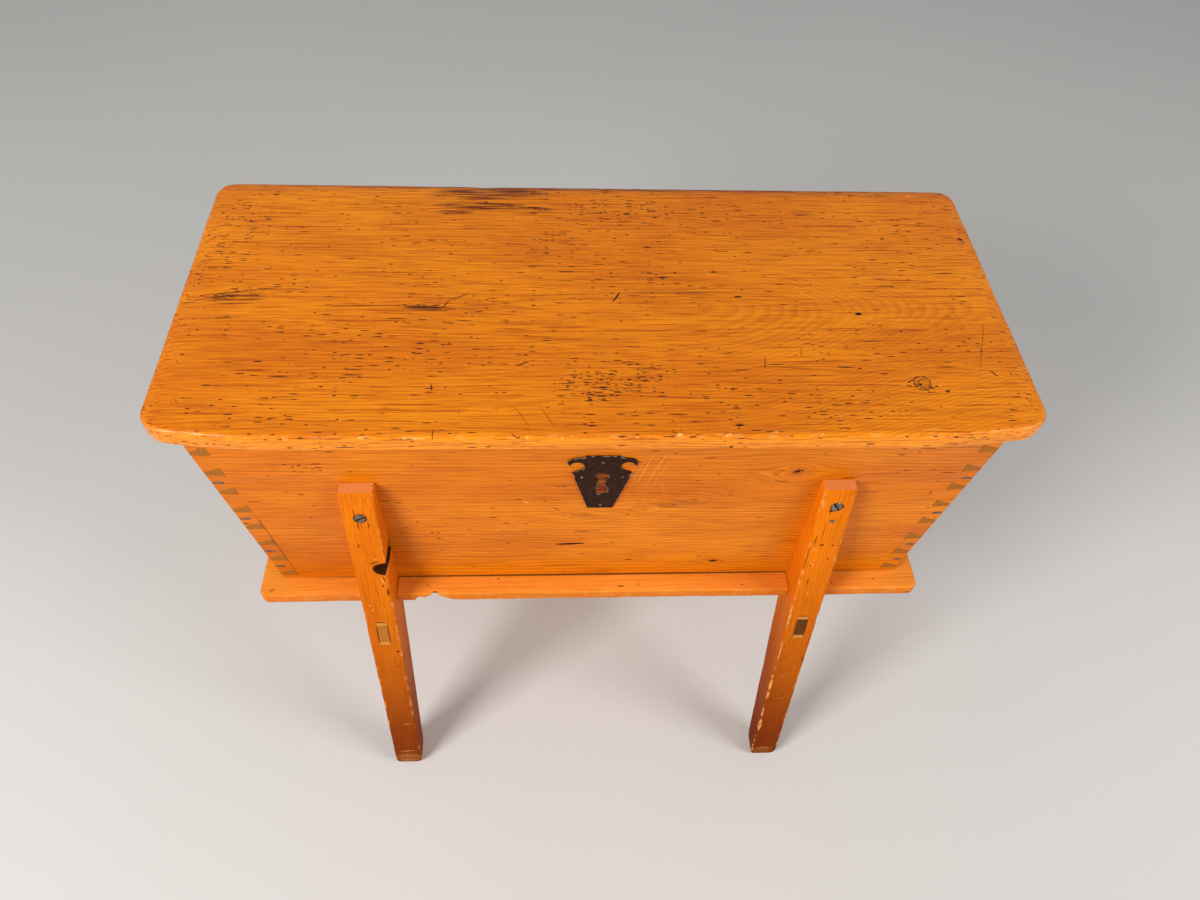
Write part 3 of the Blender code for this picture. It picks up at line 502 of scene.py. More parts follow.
def join_rings(solid, rings):
    """Closes the wall between each ring of vertices and the next."""
    for lower, upper in zip(rings, rings[1:]):
        for index in range(len(lower)):
            solid.faces.new((lower[index - 1], lower[index], upper[index], upper[index - 1]))


def upright_on(point, axis):
    """Matrix that stands +Z along an axis at a point."""
    way = Vector(Z).rotation_difference(Vector(axis)).to_matrix().to_4x4()
    return Matrix.Translation(Vector(point)) @ way


def prism(outline, low, high, place):
    """Extrudes a 2-D outline between two levels."""
    solid = bmesh.new()
    rings = [[solid.verts.new(place(a, b, level)) for a, b in outline] for level in (low, high)]
    for ring in rings:
        solid.faces.new(ring)
    join_rings(solid, rings)
    return solid


def block(low, high):
    outline = ((low[0], low[1]), (high[0], low[1]), (high[0], high[1]), (low[0], high[1]))
    return prism(outline, low[2], high[2], lambda x, y, z: (x, y, z))


def turned(profile, point, axis, segments=28):
    """Revolves (radius, height) pairs about an axis; the first and last pair lie on it."""
    solid = bmesh.new()
    rings = []
    for radius, height in profile[1:-1]:
        angles = [tau * step / segments for step in range(segments)]
        rings.append([solid.verts.new((radius * cos(a), radius * sin(a), height)) for a in angles])
    first = solid.verts.new((0, 0, profile[0][1]))
    last = solid.verts.new((0, 0, profile[-1][1]))
    for index in range(segments):
        solid.faces.new((first, rings[0][index], rings[0][index - 1]))
        solid.faces.new((last, rings[-1][index - 1], rings[-1][index]))
    join_rings(solid, rings)
    solid.transform(upright_on(point, axis))
    return solid


def lump(place, radii, seed, roughness):
    """Ragged oval body, used to break wood away."""
    solid = bmesh.new()
    bmesh.ops.create_icosphere(solid, subdivisions=4, radius=1.0)
    for vertex in solid.verts:
        way = vertex.co.normalized()
        coarse = noise.noise(way * 1.7 + Vector((seed, 0, 0)))
        fine = noise.noise(way * 5 + Vector((0, seed, 0)))
        swollen = way * (1 + roughness * (coarse + 0.6 * fine))
        vertex.co = Vector(place) + Vector([a * b for a, b in zip(swollen, radii)])
    return solid


def rounded_slab(half_x, half_y, corner, back_corner, low, high, top_round, under_round, step):
    """Board with rounded corners and edges, as an even grid of quads.

    The back corners are no wider than the front ones.
    """
    corner_cells = max(4, round(corner / step))

    def stations(half, inset):
        middle = half - corner
        radius = corner - inset
        inner_cells = round(2 * middle / step)
        start = [-middle - radius * (1 - index / corner_cells) for index in range(corner_cells)]
        centre = [-middle + 2 * middle * index / inner_cells for index in range(inner_cells + 1)]
        return start + centre + [-value for value in reversed(start)]

    def bend(x, y, inset):
        radius = corner - inset
        s = (abs(x) - half_x + corner) / radius
        t = (abs(y) - half_y + corner) / radius
        if s <= 0 or t <= 0:
            return x, y
        curve = (back_corner - inset) / radius if y > 0 else 1.0
        straight, bow = 1 - curve, curve * pi / 2
        way = (t / s if s >= t else 2 - s / t) / 2 * (2 * straight + bow)
        angle = min(max((way - straight) / curve, 0.0), pi / 2)
        reach = max(s, t)
        s, t = reach * (straight + curve * cos(angle)), reach * (straight + curve * sin(angle))
        if way < straight:
            t *= way / straight
        elif way > straight + bow:
            s *= (2 * straight + bow - way) / straight
        bent_x = half_x - corner + radius * s
        bent_y = half_y - corner + radius * t
        return copysign(bent_x, x), copysign(bent_y, y)

    columns = len(stations(half_x, 0))
    rows = len(stations(half_y, 0))
    rim = [(i, 0) for i in range(columns - 1)] + [(columns - 1, j) for j in range(rows - 1)]
    rim += [(i, rows - 1) for i in range(columns - 1, 0, -1)] + [(0, j) for j in range(rows - 1, 0, -1)]
    solid = bmesh.new()

    def ring(inset, height, spots=rim):
        xs, ys = stations(half_x, inset), stations(half_y, inset)
        return [solid.verts.new((*bend(xs[i], ys[j], inset), height)) for i, j in spots]

    def sheet(inset, height):
        grid = [ring(inset, height, [(i, j) for j in range(rows)]) for i in range(columns)]
        for i in range(columns - 1):
            for j in range(rows - 1):
                solid.faces.new((grid[i][j], grid[i + 1][j], grid[i + 1][j + 1], grid[i][j + 1]))
        return [grid[i][j] for i, j in rim]

    steps = 6
    arcs = [pi / 2 * index / steps for index in range(1, steps)]
    rings = [sheet(under_round, low)]
    rings += [ring(under_round * (1 - sin(a)), low + under_round * (1 - cos(a))) for a in arcs]
    rings += [ring(0, low + under_round)]
    if high - top_round - low - under_round > 0.001:
        rings += [ring(0, high - top_round)]
    rings += [ring(top_round * (1 - cos(a)), high - top_round * (1 - sin(a))) for a in arcs]
    rings += [sheet(top_round, high)]
    join_rings(solid, rings)
    bmesh.ops.recalc_face_normals(solid, faces=solid.faces)
    return solid


def inset_from(half_x, half_y, corner, back_corner):
    """Distance of a point inwards from a rounded rectangle's outline."""
    def inset(point):
        radius = back_corner if point.y > 0 else corner
        s = abs(point.x) - half_x + radius
        t = abs(point.y) - half_y + radius
        return radius - hypot(max(s, 0), max(t, 0)) - min(max(s, t), 0)
    return inset


def wear_slab(solid, inset, rim, wave, nibble, dents):
    """Makes a slab gently uneven, rubs its rim and presses dents into it."""
    solid.normal_update()
    moved = []
    for vertex in solid.verts:
        point = vertex.co
        close = max(0.0, 1 - inset(point) / rim)
        lift = wave * (rough_noise(point, 4) + 0.4 * rough_noise(point, 13)) * abs(vertex.normal.z)
        rub = nibble * close * (rough_noise(point, 17) + 0.6 * rough_noise(point, 60) - 0.5)
        for place, radius, depth in dents:
            share = (point - Vector(place)).length / radius
            if share < 1:
                rub -= depth * (1 - share * share) ** 2
        moved.append(point + Vector((0, 0, lift)) + vertex.normal * rub)
    for vertex, point in zip(solid.verts, moved):
        vertex.co = point


def eased(node, width, arris=0.0, shortest=0.004):
    """Copy of a CAD node's mesh with its edges eased, and its outer corners by a larger round."""
    solid = bmesh.new()
    solid.from_mesh(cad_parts[node].data)
    bmesh.ops.remove_doubles(solid, verts=solid.verts, dist=1e-6)
    bmesh.ops.dissolve_limit(solid, angle_limit=radians(1), verts=solid.verts, edges=solid.edges)

    def ease(offset, segments, wanted):
        edges = [
            edge for edge in solid.edges
            if len(edge.link_faces) == 2 and edge.calc_face_angle(0) > radians(30) and wanted(edge)
        ]
        made = bmesh.ops.bevel(
            solid, geom=edges, offset=offset, offset_type="OFFSET", segments=segments, profile=0.5,
            affect="EDGES", clamp_overlap=True,
        )
        fresh = set(made["faces"])
        return [v for v in made["verts"] if all(face in fresh for face in v.link_faces)]

    def on_corner(edge):
        return all(
            abs(abs(v.co.y) - FACE) < 1e-4 and abs(abs(v.co.x) - end_line(v.co.z)) < 2e-4
            for v in edge.verts
        )

    if arris:
        ease(arris, 3, on_corner)
    layer = solid.verts.layers.float.new("edge")
    for vertex in ease(width, 2, lambda edge: edge.calc_length() > shortest):
        vertex[layer] = 1.0 if BOX_LOW + 0.001 < vertex.co.z < BOX_TOP - 0.001 else 0.0
    return solid


def put_eased(node, material, width, arris=0.0, shortest=0.004, body=STAND, sharp=12):
    """Puts an eased copy of a CAD node in its place."""
    put(node + "_worn", eased(node, width, arris, shortest), material, node, body, sharp)


# Lid
LID_CORNERS, LID_TOP_ROUND, LID_UNDER_ROUND = (0.032, 0.027), 0.005, 0.004
LID_BOW, LID_BOW_LENGTH, LID_BOW_POWER = 0.015, 0.14, 1.5
LID_SAG, LID_SAG_WIDTH, LID_CELL = 0.0035, 0.03, 0.004
LID_ARRIS_INSET, ARRIS_WIDTH = 0.0015, 0.0045
LID_HALF = LID_BOX[1].xy
LID_TOP = LID_BOX[1].z

LID_MARKS = mm(
    (-435.2, 2.9, 45, 0.9, 90, 30, 8.8), (-434.3, -17, 30.4, 0.9, 85, 30, 1.7),
    (-472.3, -10.3, 12.6, 0.9, 80, 30, 8.2), (-448, -5, 20, 1.1, 90, 20, 9),
    (-271.6, -19.3, 80, 0.8, 70, 20, 0.4), (-214.3, -20.9, 23, 1.6, 95, 20, -0.7),
    (-200, -26.5, 16, 1, 85, 20, 1), (-184.6, -16.1, 9.8, 1, 90, 30, 60),
    (-168.2, -2.7, 14, 1, 90, 30, 24.6), (-192.1, -148.9, 5.5, 1.1, 90, 40, 94),
    (20.2, -2.1, 11.8, 1.2, 100, 40, 61.3), (-36.5, 1.4, 56, 0.8, 65, 20, 1.8),
    (120.2, 6.9, 80, 0.9, 62, 20, 0.5), (-143.5, -17.6, 26, 0.7, 50, 20, 2.4),
    (-88.7, -21.6, 32, 0.7, 50, 20, -9.4), (-92.6, -113.5, 9.2, 1.1, 85, 30, 30.7),
    (-91.9, -191.5, 21.5, 0.6, 60, 30, -60), (-64.3, -191.6, 21.3, 0.6, 60, 30, -61),
    (56.3, -114.8, 9, 0.7, 55, 30, -70), (313.8, -29.8, 5.2, 2.4, 100, 50),
    (482.5, 113.6, 4.2, 3, 95, 40, -20), (450.9, -86, 57.1, 0.6, 65, 30, -109.9),
    (452.6, -128, 7.2, 1.3, 85, 30, -52), (390.4, -155, 3.4, 1.9, 90, 40, 30),
    (186.6, -111.7, 12.8, 1, 65, 20, 80), (232, -93.3, 10.7, 0.9, 55, 20, 78),
    (229.6, -120.4, 73.1, 0.8, 55, 20, -4.2), (169, -1, 6.2, 1.6, 95, 40, 3), (42, 158, 6, 2.6, 85, 30),
    (361, -145, 2.4, 2, 95, 40), (-186.2, -215, 0.8, 7.5, 85, 30), (-264, -220, 5, 0.7, 85, 20, 10),
    (-254, -219, 6, 0.6, 85, 20, -12), (-260, -215, 3.5, 0.8, 80, 20, 20),
    (-100, -217, 3.5, 1, 85, 20, -30), (-96, -219, 3, 0.9, 80, 20, 20), (70, -218, 4.5, 0.8, 85, 20, 5),
    (92, -218.5, 5, 0.9, 85, 20), (176, -213.5, 6, 1, 85, 20, 4), (189, -213, 5, 0.7, 80, 20, 2),
    (373.5, -150, 3.6, 1.4, 90, 40, -35), (350, -140, 6, 1.2, 90, 30, 30),
    (347, -147, 4.6, 1.1, 85, 30, -25), (379, -148, 2.6, 1.6, 90, 40),
)
LID_CIRCLES = mm(
    (364, -143, 10, 10.5, 88, 15), (365.5, -144, 6.2, 6.8, 75, 18), (353, -144, 4.5, 5, 75, 20),
)
# Stains on the lid; the long band along the back edge is painted shade on its rolled-off edge
LID_STAINS_AND_SHADE = mm(
    (-140, 200, 92, 20, 130, 10, 1), (-150, 172, 75, 12, 130, 0, -1), (-185, 158, 30, 5, 100, 0),
    (-90, 165, 45, 9, 90, 0), (0, 215, 500, 10, 100, 0), (276, 164, 16, 6, 110, 0, -6.6),
    (-430, -6.5, 42, 12, 90, 0, 4), (-207, -22.5, 34, 8.5, 75, 0), (364, -143.5, 11, 12, 25, 30),
    (125, 5, 120, 5, 35, 0),
)
LID_SCARS = mm(
    (-260, -219, 7, 1.6, 95, 40, 3), (-254, -220, 3.5, 1.2, 90, 40, -10), (-204, -219.5, 12, 1, 85, 30, 1),
    (-215, -219.5, 3, 1.6, 70, 30), (-85.7, -219, 2.8, 1.6, 85, 30, 10),
    (-48.6, -219.5, 1.8, 2, 85, 30, 40), (-2.7, -220, 3, 1, 50, 20), (32.2, -219, 1.4, 1.8, 60, 20, 20),
    (77.8, -216.4, 3.6, 1.7, 90, 30, 10), (130.9, -217.5, 4.2, 1.5, 90, 30, 3),
    (182, -214.5, 5.5, 0.8, 80, 20, 4), (233.5, -217, 2.6, 1, 60, 20, 20),
    (259.5, -195.2, 9, 0.5, 45, 20, -63), (333, -196, 12, 0.5, 35, 20, -66),
    (355, -211, 12, 0.8, 60, 20, 6), (490, -118, 7, 1, 80, 20, 5), (434, 205, 4.6, 1.6, 70, 20, 30),
    (-286, -196, 2, 1.3, 85, 40),
)
LID_CLUSTERS = mm(
    (5, -140, 72, 36, 100, 10, 14), (30, 170, 160, 26, 40, 0), (-450, 110, 40, 90, 40, 0),
    (260, -175, 90, 30, 35, 0), (-205, -20, 40, 9, 60, 0),
)
# Dents are (x, y, how far under the top, radius, depth), in millimetres
LID_DENTS = [
    ((x / 1000, y / 1000, LID_TOP - under / 1000), radius / 1000, depth / 1000)
    for x, y, under, radius, depth in (
        (-259.3, -217, 6, 11, 1.6), (-83, -216.5, 5, 9, 1.1), (86, -215, 4, 10, 1.2), (146, -217, 6, 9, 1.1),
        (492, -118, 5, 10, 1.2), (-440, -215, 6, 16, 1), (-148, 214, 4, 22, 1.3), (482.5, 113.6, 0, 7, 1),
    )
]
lid_wood = wood(
    "lid_pine", LID_PINE, X, Y, (-0.013, LID_TOP - 0.045), 0.005, knots=[(0.3628, -0.1431, 0.0085)],
    ramp=(0.1, 0.52, 0.1), marks=LID_MARKS, scars=LID_SCARS, stains_and_shade=LID_STAINS_AND_SHADE, circles=LID_CIRCLES,
    clusters=LID_CLUSTERS, dashes=0.1, wear=0.16, gloss=0.26, raw=DOWN, coat=0.26, figure=0.34,
    streaks=0.92, thread=440, scratches=0.022,
)


def shape_lid(solid):
    """Lets the front edge fall back at its ends, as in CAD, and the top sink at the ends and the back."""
    middle = (LID_BOX[0].z + LID_TOP) / 2
    for vertex in solid.verts:
        x, y, z = vertex.co
        if z > middle:
            inward = min(LID_HALF[0] - abs(x), LID_HALF[1] - y)
            vertex.co.z -= LID_SAG * max(0.0, 1 - inward / LID_SAG_WIDTH) ** 2
        share = max(0.0, abs(x) - LID_HALF[0] + LID_BOW_LENGTH) / LID_BOW_LENGTH
        vertex.co.y += LID_BOW * share**LID_BOW_POWER * max(0.0, -y / LID_HALF[1])


def lid_arris(point):
    """1 on the lid's upper arris, 0 a few millimetres away."""
    away = hypot(lid_inset(point) - LID_ARRIS_INSET, LID_TOP - LID_ARRIS_INSET - point.z)
    return min(1.0, max(0.0, 1.3 - away / ARRIS_WIDTH))


lid = rounded_slab(*LID_HALF, *LID_CORNERS, LID_BOX[0].z, LID_TOP, LID_TOP_ROUND, LID_UNDER_ROUND, LID_CELL)
lid_inset = inset_from(*LID_HALF, *LID_CORNERS)
wear_slab(lid, lid_inset, rim=0.01, wave=0.0004, nibble=0.0006, dents=LID_DENTS)
mark_edges(lid, lid_arris)
shape_lid(lid)
put("lid_board", lid, lid_wood, "lid", LID)

# Box boards
BOARD_EASE, BOARD_ARRIS = 0.001, 0.0014
# Dark line along the foot of the front and back boards: a dark joint and painted shade in the crease over the
# bottom board
BOX_FOOT_JOINT_AND_SHADE = mm((0, 0, 500, 2.2, 80, 20), at=(0, BOX_LOW))
FRONT_KNOTS = [
    (0.2345, 0.6306, 0.018), (0.161, 0.4264, 0.007), (0.1175, 0.5742, 0.006), (-0.03, 0.54, 0.009),
    (0.056, 0.556, 0.009), (0.168, 0.599, 0.01),
]
FRONT_MARKS = BOX_FOOT_JOINT_AND_SHADE + mm(
    (-34.9, 473.5, 19.5, 2.1, 100, 85, 3.2), (-416.2, 576.4, 11, 0.9, 75, 30),
    (351.8, 662.1, 5.5, 1.2, 85, 30), (-54.2, 555.9, 6, 1, 80, 30, -35), (234.5, 630.6, 4.2, 3, 95, 30, 10),
    (239.5, 632, 2.8, 1.6, 90, 30, -20), (230, 629.4, 3.4, 1.2, 85, 20, 15),
    (235.2, 634.5, 1, 3.2, 70, 20, 10), (256, 630, 22, 0.9, 50, 0, 1), (214, 633, 6, 1, 65, 20, 10),
    (161, 426.4, 4.8, 2.6, 95, 30, 8), (165.5, 425, 2.2, 1.6, 90, 30), (156.5, 427.2, 2.4, 1.2, 85, 30),
    (149, 429, 7, 0.8, 50, 20, 6), (-412.6, 481, 79, 0.7, 75, 50, -81.8),
    (412.6, 470, 70, 0.6, 40, 50, 81.4), (117.5, 574.2, 5, 1.2, 45, 20, 20),
)
# Stains round the plate and the knots; the dark round the plate is dirt and painted shade, and the strong
# dark on the wood in the keyhole is painted shade
FRONT_STAINS_AND_SHADE = mm(
    (0, 610, 56, 64, 30, 0), (0, 611.7, 12.5, 27, 250, 60), (234.5, 630.6, 16, 8, 60, 0, 4),
    (161, 426.4, 12, 6, 55, 0, 4), (95, 564, 52, 11, 35, 0, 8), (-30, 542, 36, 6, 35, 0, -6),
)
for side, _ in SIDES:
    for number in range(1, 5):
        low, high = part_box(f"front_{side}_corner_nail_{number}")
        FRONT_MARKS += mm((0, 0, 7.8, 3, 88, 40), at=((low.x + high.x) / 2, (low.z + high.z) / 2))
FRONT_SCARS = mm(
    (50.2, 636.3, 36.6, 0.5, 50, 40, -105.5), (62.7, 632.4, 44.1, 0.5, 55, 40, -106.6),
    (42, 628, 30, 0.4, 40, 30, -104), (76, 596, 18, 0.4, 35, 30, -75), (71, 630, 40, 0.4, 40, 30, -107),
    (33, 620, 26, 0.4, 35, 30, -104), (-91, 570.6, 8, 1.2, 60, 20, -35), (118.5, 576, 1.4, 0.9, 60, 30),
)
FRONT_CIRCLES = mm(
    (108, 574, 20, 6, 8, 12, 5), (106, 575, 32, 10, 9, 10, 6), (105, 576.5, 45, 14, 10, 9, 7),
    (104, 578, 58, 19, 10, 8, 8),
)
FRONT_CLUSTERS = mm((-335.4, 644.6, 27, 20, 400, 20))
front_wood = wood(
    "front_pine", BOX_PINE, X, Z, (0.22, 0.1), 0.0062, seed=3.1, knots=FRONT_KNOTS, plane="xz",
    face=FRONTWARD, marks=FRONT_MARKS, scars=FRONT_SCARS, stains_and_shade=FRONT_STAINS_AND_SHADE, clusters=FRONT_CLUSTERS,
    circles=FRONT_CIRCLES, dashes=0.016, gloss=0.29, raw=Y, grime=0.9, figure=0.45, streaks=0.66, thread=320,
)
PLAIN_BOARD = dict(dashes=0.015, gloss=0.32, grime=0.85, streaks=0.55, thread=240)
back_wood = wood(
    "back_pine", BOX_PINE, X, Z, (0.24, 0.06), 0.006, seed=7.7, knots=[(-0.15, 0.52, 0.016)], plane="xz",
    face=Y, marks=BOX_FOOT_JOINT_AND_SHADE + mm((-150, 520, 6, 4.5, 85, 30, 12)), raw=FRONTWARD,
    figure=0.35, **PLAIN_BOARD,
)
put_eased("front_board", front_wood, BOARD_EASE, BOARD_ARRIS)
put_eased("back_board", back_wood, BOARD_EASE, BOARD_ARRIS)
for side, sign in SIDES:
    end_wood = wood(
        side + "_end_pine", BOX_PINE, Y, Z, (0.55, sign * 0.3), 0.0048, seed=11.3 + sign, raw=(-sign, 0, 0),
        figure=0.3, **PLAIN_BOARD,
    )
    put_eased(side + "_end_board", end_wood, BOARD_EASE, BOARD_ARRIS)

# Bottom board
BOTTOM_HALF = BOTTOM_BOX[1].xy
BOTTOM_CORNER, BOTTOM_TOP_ROUND, BOTTOM_UNDER_ROUND = 0.012, 0.003, 0.006
BOTTOM_LOW, BOTTOM_TOP = BOTTOM_BOX[0].z, BOTTOM_BOX[1].z
BOTTOM_CELL = 0.006
NOTCH_HALF, NOTCH_REACH, NOTCH_LOW, NOTCH_HIGH = LEG_WIDTH / 2 + 0.0008, 0.06, 0.2, 0.6
# The first line, where the front board stands on the bottom board, is a dark joint and painted shade in the
# crease; the rest are dark spots
BOTTOM_MARKS = mm((0, 0, 430, 2.2, 75, 20), at=(0, -FACE)) + mm(
    (-435, -208, 5, 3, 35, 10, 30), (60, -206, 3, 1.2, 55, 20, 80), (390, -202, 1.8, 1.6, 70, 30),
    (330, -208, 1.6, 1.6, 70, 30),
)
# Lumps that break wood away are (place, radii, seed, roughness): here the chip in the front edge
CHIP_LUMPS = (
    ((-0.218, -0.22, BOTTOM_LOW + 0.002), (0.017, 0.017, 0.017), 1.0, 0.3),
    ((-0.237, -0.22, BOTTOM_LOW + 0.001), (0.01, 0.012, 0.011), 4.0, 0.3),
    ((-0.2, -0.2195, BOTTOM_LOW), (0.009, 0.009, 0.009), 9.0, 0.3),
)
bottom_wood = wood(
    "bottom_pine", LIP_PINE, X, Y, (0.05, BOTTOM_TOP - 0.22), 0.006, seed=17.9, marks=BOTTOM_MARKS,
    dashes=0.01, wear=0.12, gloss=0.32, specular=0.03, streaks=0.45, raw=Z,
    raw_half=[(X, end_line(BOX_LOW) - 0.021), (Y, INNER_FACE + 0.001)],
)
bottom = rounded_slab(
    *BOTTOM_HALF, BOTTOM_CORNER, BOTTOM_CORNER, BOTTOM_LOW, BOTTOM_TOP, BOTTOM_TOP_ROUND, BOTTOM_UNDER_ROUND,
    BOTTOM_CELL,
)
bottom_inset = inset_from(*BOTTOM_HALF, BOTTOM_CORNER, BOTTOM_CORNER)
wear_slab(bottom, bottom_inset, rim=0.01, wave=0.0, nibble=0.0006, dents=[])
cutters = []
for leg_x in (-LEG_X, LEG_X):
    for sign in (-1, 1):
        near, far = sorted((sign * FACE, sign * (FACE + NOTCH_REACH)))
        cutters.append(block((leg_x - NOTCH_HALF, near, NOTCH_LOW), (leg_x + NOTCH_HALF, far, NOTCH_HIGH)))
cutters += [lump(*parts) for parts in CHIP_LUMPS]
bottom = carve(bottom, cutters)
mark_edges(bottom, lambda point: min(1.0, max(0.0, 1 - (bottom_inset(point) - 0.001) / 0.007)))
put("bottom_board_worn", bottom, bottom_wood, "bottom_board", sharp=35)

# Legs
FOOT_RISE, FOOT_INSET = 0.022, 0.007
TENON_LEVEL, TENON_HALF_WIDTH, TENON_HALF_HEIGHT = 0.3465, 0.0073, 0.0175
WEDGE_THIN, WEDGE_THICK = 0.0015, 0.007
LEG_TOP_EASE, LEG_TOP_INSET = 0.002, 0.0009
FOOT_STEPS, SHAFT_STEPS, SIDE_STEPS, ARC_STEPS = 8, 170, 7, 4

# Legs are (x, front or back, seed of wear, depth of chips, turn of the screw's slot, seed of grain, rubbing)
LEGS = {
    "front_left": (-LEG_X, -1, 1.0, 0.0055, 0.5, 2.0, 0.55),
    "front_right": (LEG_X, -1, 20.0, 0.0065, 2.2, 5.0, 0.75),
    "back_left": (-LEG_X, 1, 40.0, 0.005, 0.5, 8.0, 0.6),
    "back_right": (LEG_X, 1, 60.0, 0.005, 2.2, 9.0, 0.6),
}
SCREW_HOLE = [(0, -0.06), (0.0031, -0.06), (0.0031, -0.0045), (0.0076, 0.0), (0.008, 0.006), (0, 0.006)]
NAIL_HOLE = [(0, -0.05), (0.003, -0.05), (0.0032, 0.004), (0, 0.004)]
SCREW_RIM = 0.0016

# Hollow that a fallen knot left in the left front leg
KNOT_X = -LEG_X + LEG_WIDTH / 2 + 0.001
KNOT_LUMPS = (
    ((KNOT_X, -0.235, 0.4795), (0.0175, 0.06, 0.0112), 2.5, 0.25),
    ((KNOT_X, -0.242, 0.466), (0.006, 0.014, 0.012), 6.0, 0.3),
)


def leg_heights():
    """Levels of the leg's sections, close together at the rounded foot and top."""
    foot = [FOOT_RISE * (1 - cos(pi / 2 * step / FOOT_STEPS)) for step in range(FOOT_STEPS + 1)]
    length = LEG_TOP - LEG_TOP_EASE - FOOT_RISE
    shaft = [FOOT_RISE + length * step / SHAFT_STEPS for step in range(1, SHAFT_STEPS + 1)]
    return foot + shaft + [LEG_TOP - 0.0008, LEG_TOP]


def leg_solid(leg_x, sign, seed, chip):
    """Leaning leg with worn arrises, before its joints are cut."""
    solid = bmesh.new()
    rings = []
    for height in leg_heights():
        inset = 0.0
        if height < FOOT_RISE:
            inset = FOOT_INSET * (1 - sqrt(1 - (1 - height / FOOT_RISE) ** 2))
        elif height > LEG_TOP - LEG_TOP_EASE:
            inset = LEG_TOP_INSET * (height - LEG_TOP + LEG_TOP_EASE) / LEG_TOP_EASE
        low_y, high_y = leg_back(height) + inset, leg_front(height) - inset
        half = LEG_WIDTH / 2 - inset
        corners = [(half, high_y, 1, 1), (-half, high_y, -1, 1), (-half, low_y, -1, -1), (half, low_y, 1, -1)]
        arcs = []
        for index, (x, y, way_x, way_y) in enumerate(corners):
            spot = Vector((seed + index * 3.7, 0, height))
            worn = 0.0021 + 0.0009 * rough_noise(spot, 11) + 0.0006 * rough_noise(spot, 38)
            bitten = max(0.0, rough_noise(spot, 26) - 0.3) + 0.7 * max(0.0, rough_noise(spot, 71) - 0.38)
            radius = max(0.001, worn + chip * bitten) + inset * 0.7
            radius = min(radius, 0.42 * (high_y - low_y))
            angles = [radians(90 * (index + step / ARC_STEPS)) for step in range(ARC_STEPS + 1)]
            u, v = x - way_x * radius, y - way_y * radius
            arcs.append([(u + radius * cos(a), v + radius * sin(a)) for a in angles])
        ring = []
        for index, curve in enumerate(arcs):
            ring += curve
            end, start = Vector(curve[-1]), Vector(arcs[(index + 1) % 4][0])
            ring += [tuple(end.lerp(start, step / SIDE_STEPS)) for step in range(1, SIDE_STEPS)]
        hollow = 0.0003 * rough_noise((seed, 0, height), 9)
        rings.append([solid.verts.new((leg_x + x, sign * (y + hollow), height)) for x, y in ring])
    solid.faces.new(rings[0])
    solid.faces.new(rings[-1])
    join_rings(solid, rings)
    return solid


def mortise(leg_x, sign):
    """Flared hole for a tenon and its wedges."""
    start, end = leg_back(TENON_LEVEL), leg_front(TENON_LEVEL)
    past = end + 0.03
    grown = WEDGE_THIN + (WEDGE_THICK - WEDGE_THIN) * (past - start) / (end - start)
    half = TENON_HALF_HEIGHT
    upper = [(start - 0.04, half + WEDGE_THIN), (start, half + WEDGE_THIN), (past, half + grown)]
    outline = [(sign * y, TENON_LEVEL + z) for y, z in upper]
    outline += [(sign * y, TENON_LEVEL - z) for y, z in reversed(upper)]
    return prism(outline, leg_x - TENON_HALF_WIDTH, leg_x + TENON_HALF_WIDTH, lambda y, z, x: (x, y, z))


def screw_point(node):
    """Middle of a leg screw's rim on its leg."""
    low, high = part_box(node)
    outer = max(abs(low.y), abs(high.y)) - SCREW_RIM
    height = LEG_TOP - (outer - LEG_TOP_FRONT) * LEG_TOP / LEG_RUN
    return (low.x + high.x) / 2, height


right_screw = screw_point("front_right_leg_screw")
nail_z = sum(corner.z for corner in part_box("front_right_leg_nail")) / 2 + 0.003

# Dark joint lines round a tenon and its wedges
TENON_LINES = (
    (-7.3, 0, 1.2, 24.5, 85, 40), (7.3, 0, 1.2, 24.5, 85, 40), (0, -24.5, 8.5, 1.2, 85, 40),
    (0, 24.5, 8.5, 1.2, 85, 40),
)
LEFT_LEG_MARKS = mm(*TENON_LINES, at=(-LEG_X, TENON_LEVEL)) + mm(
    (0, 0, 9.5, 8.8, 80, 60), (-6, 9, 0.6, 8, 85, 30), (5, 10, 0.6, 7, 80, 30), (-4, -12, 0.8, 9, 90, 30),
    (8.5, -12, 0.7, 7.5, 85, 30), (0, -13, 0.5, 10, 70, 30),
    at=screw_point("front_left_leg_screw"),
) + mm(
    (-283, 492, 8, 1.2, 80, 20, 20), (-274, 460, 1, 6, 80, 20, 10), (-277, 447, 2, 2.2, 85, 30),
    (-272, 435, 2, 9, 75, 20), (-273.5, 306, 2.8, 2.6, 85, 30), (-276, 270, 6, 1, 60, 20, 5),
)
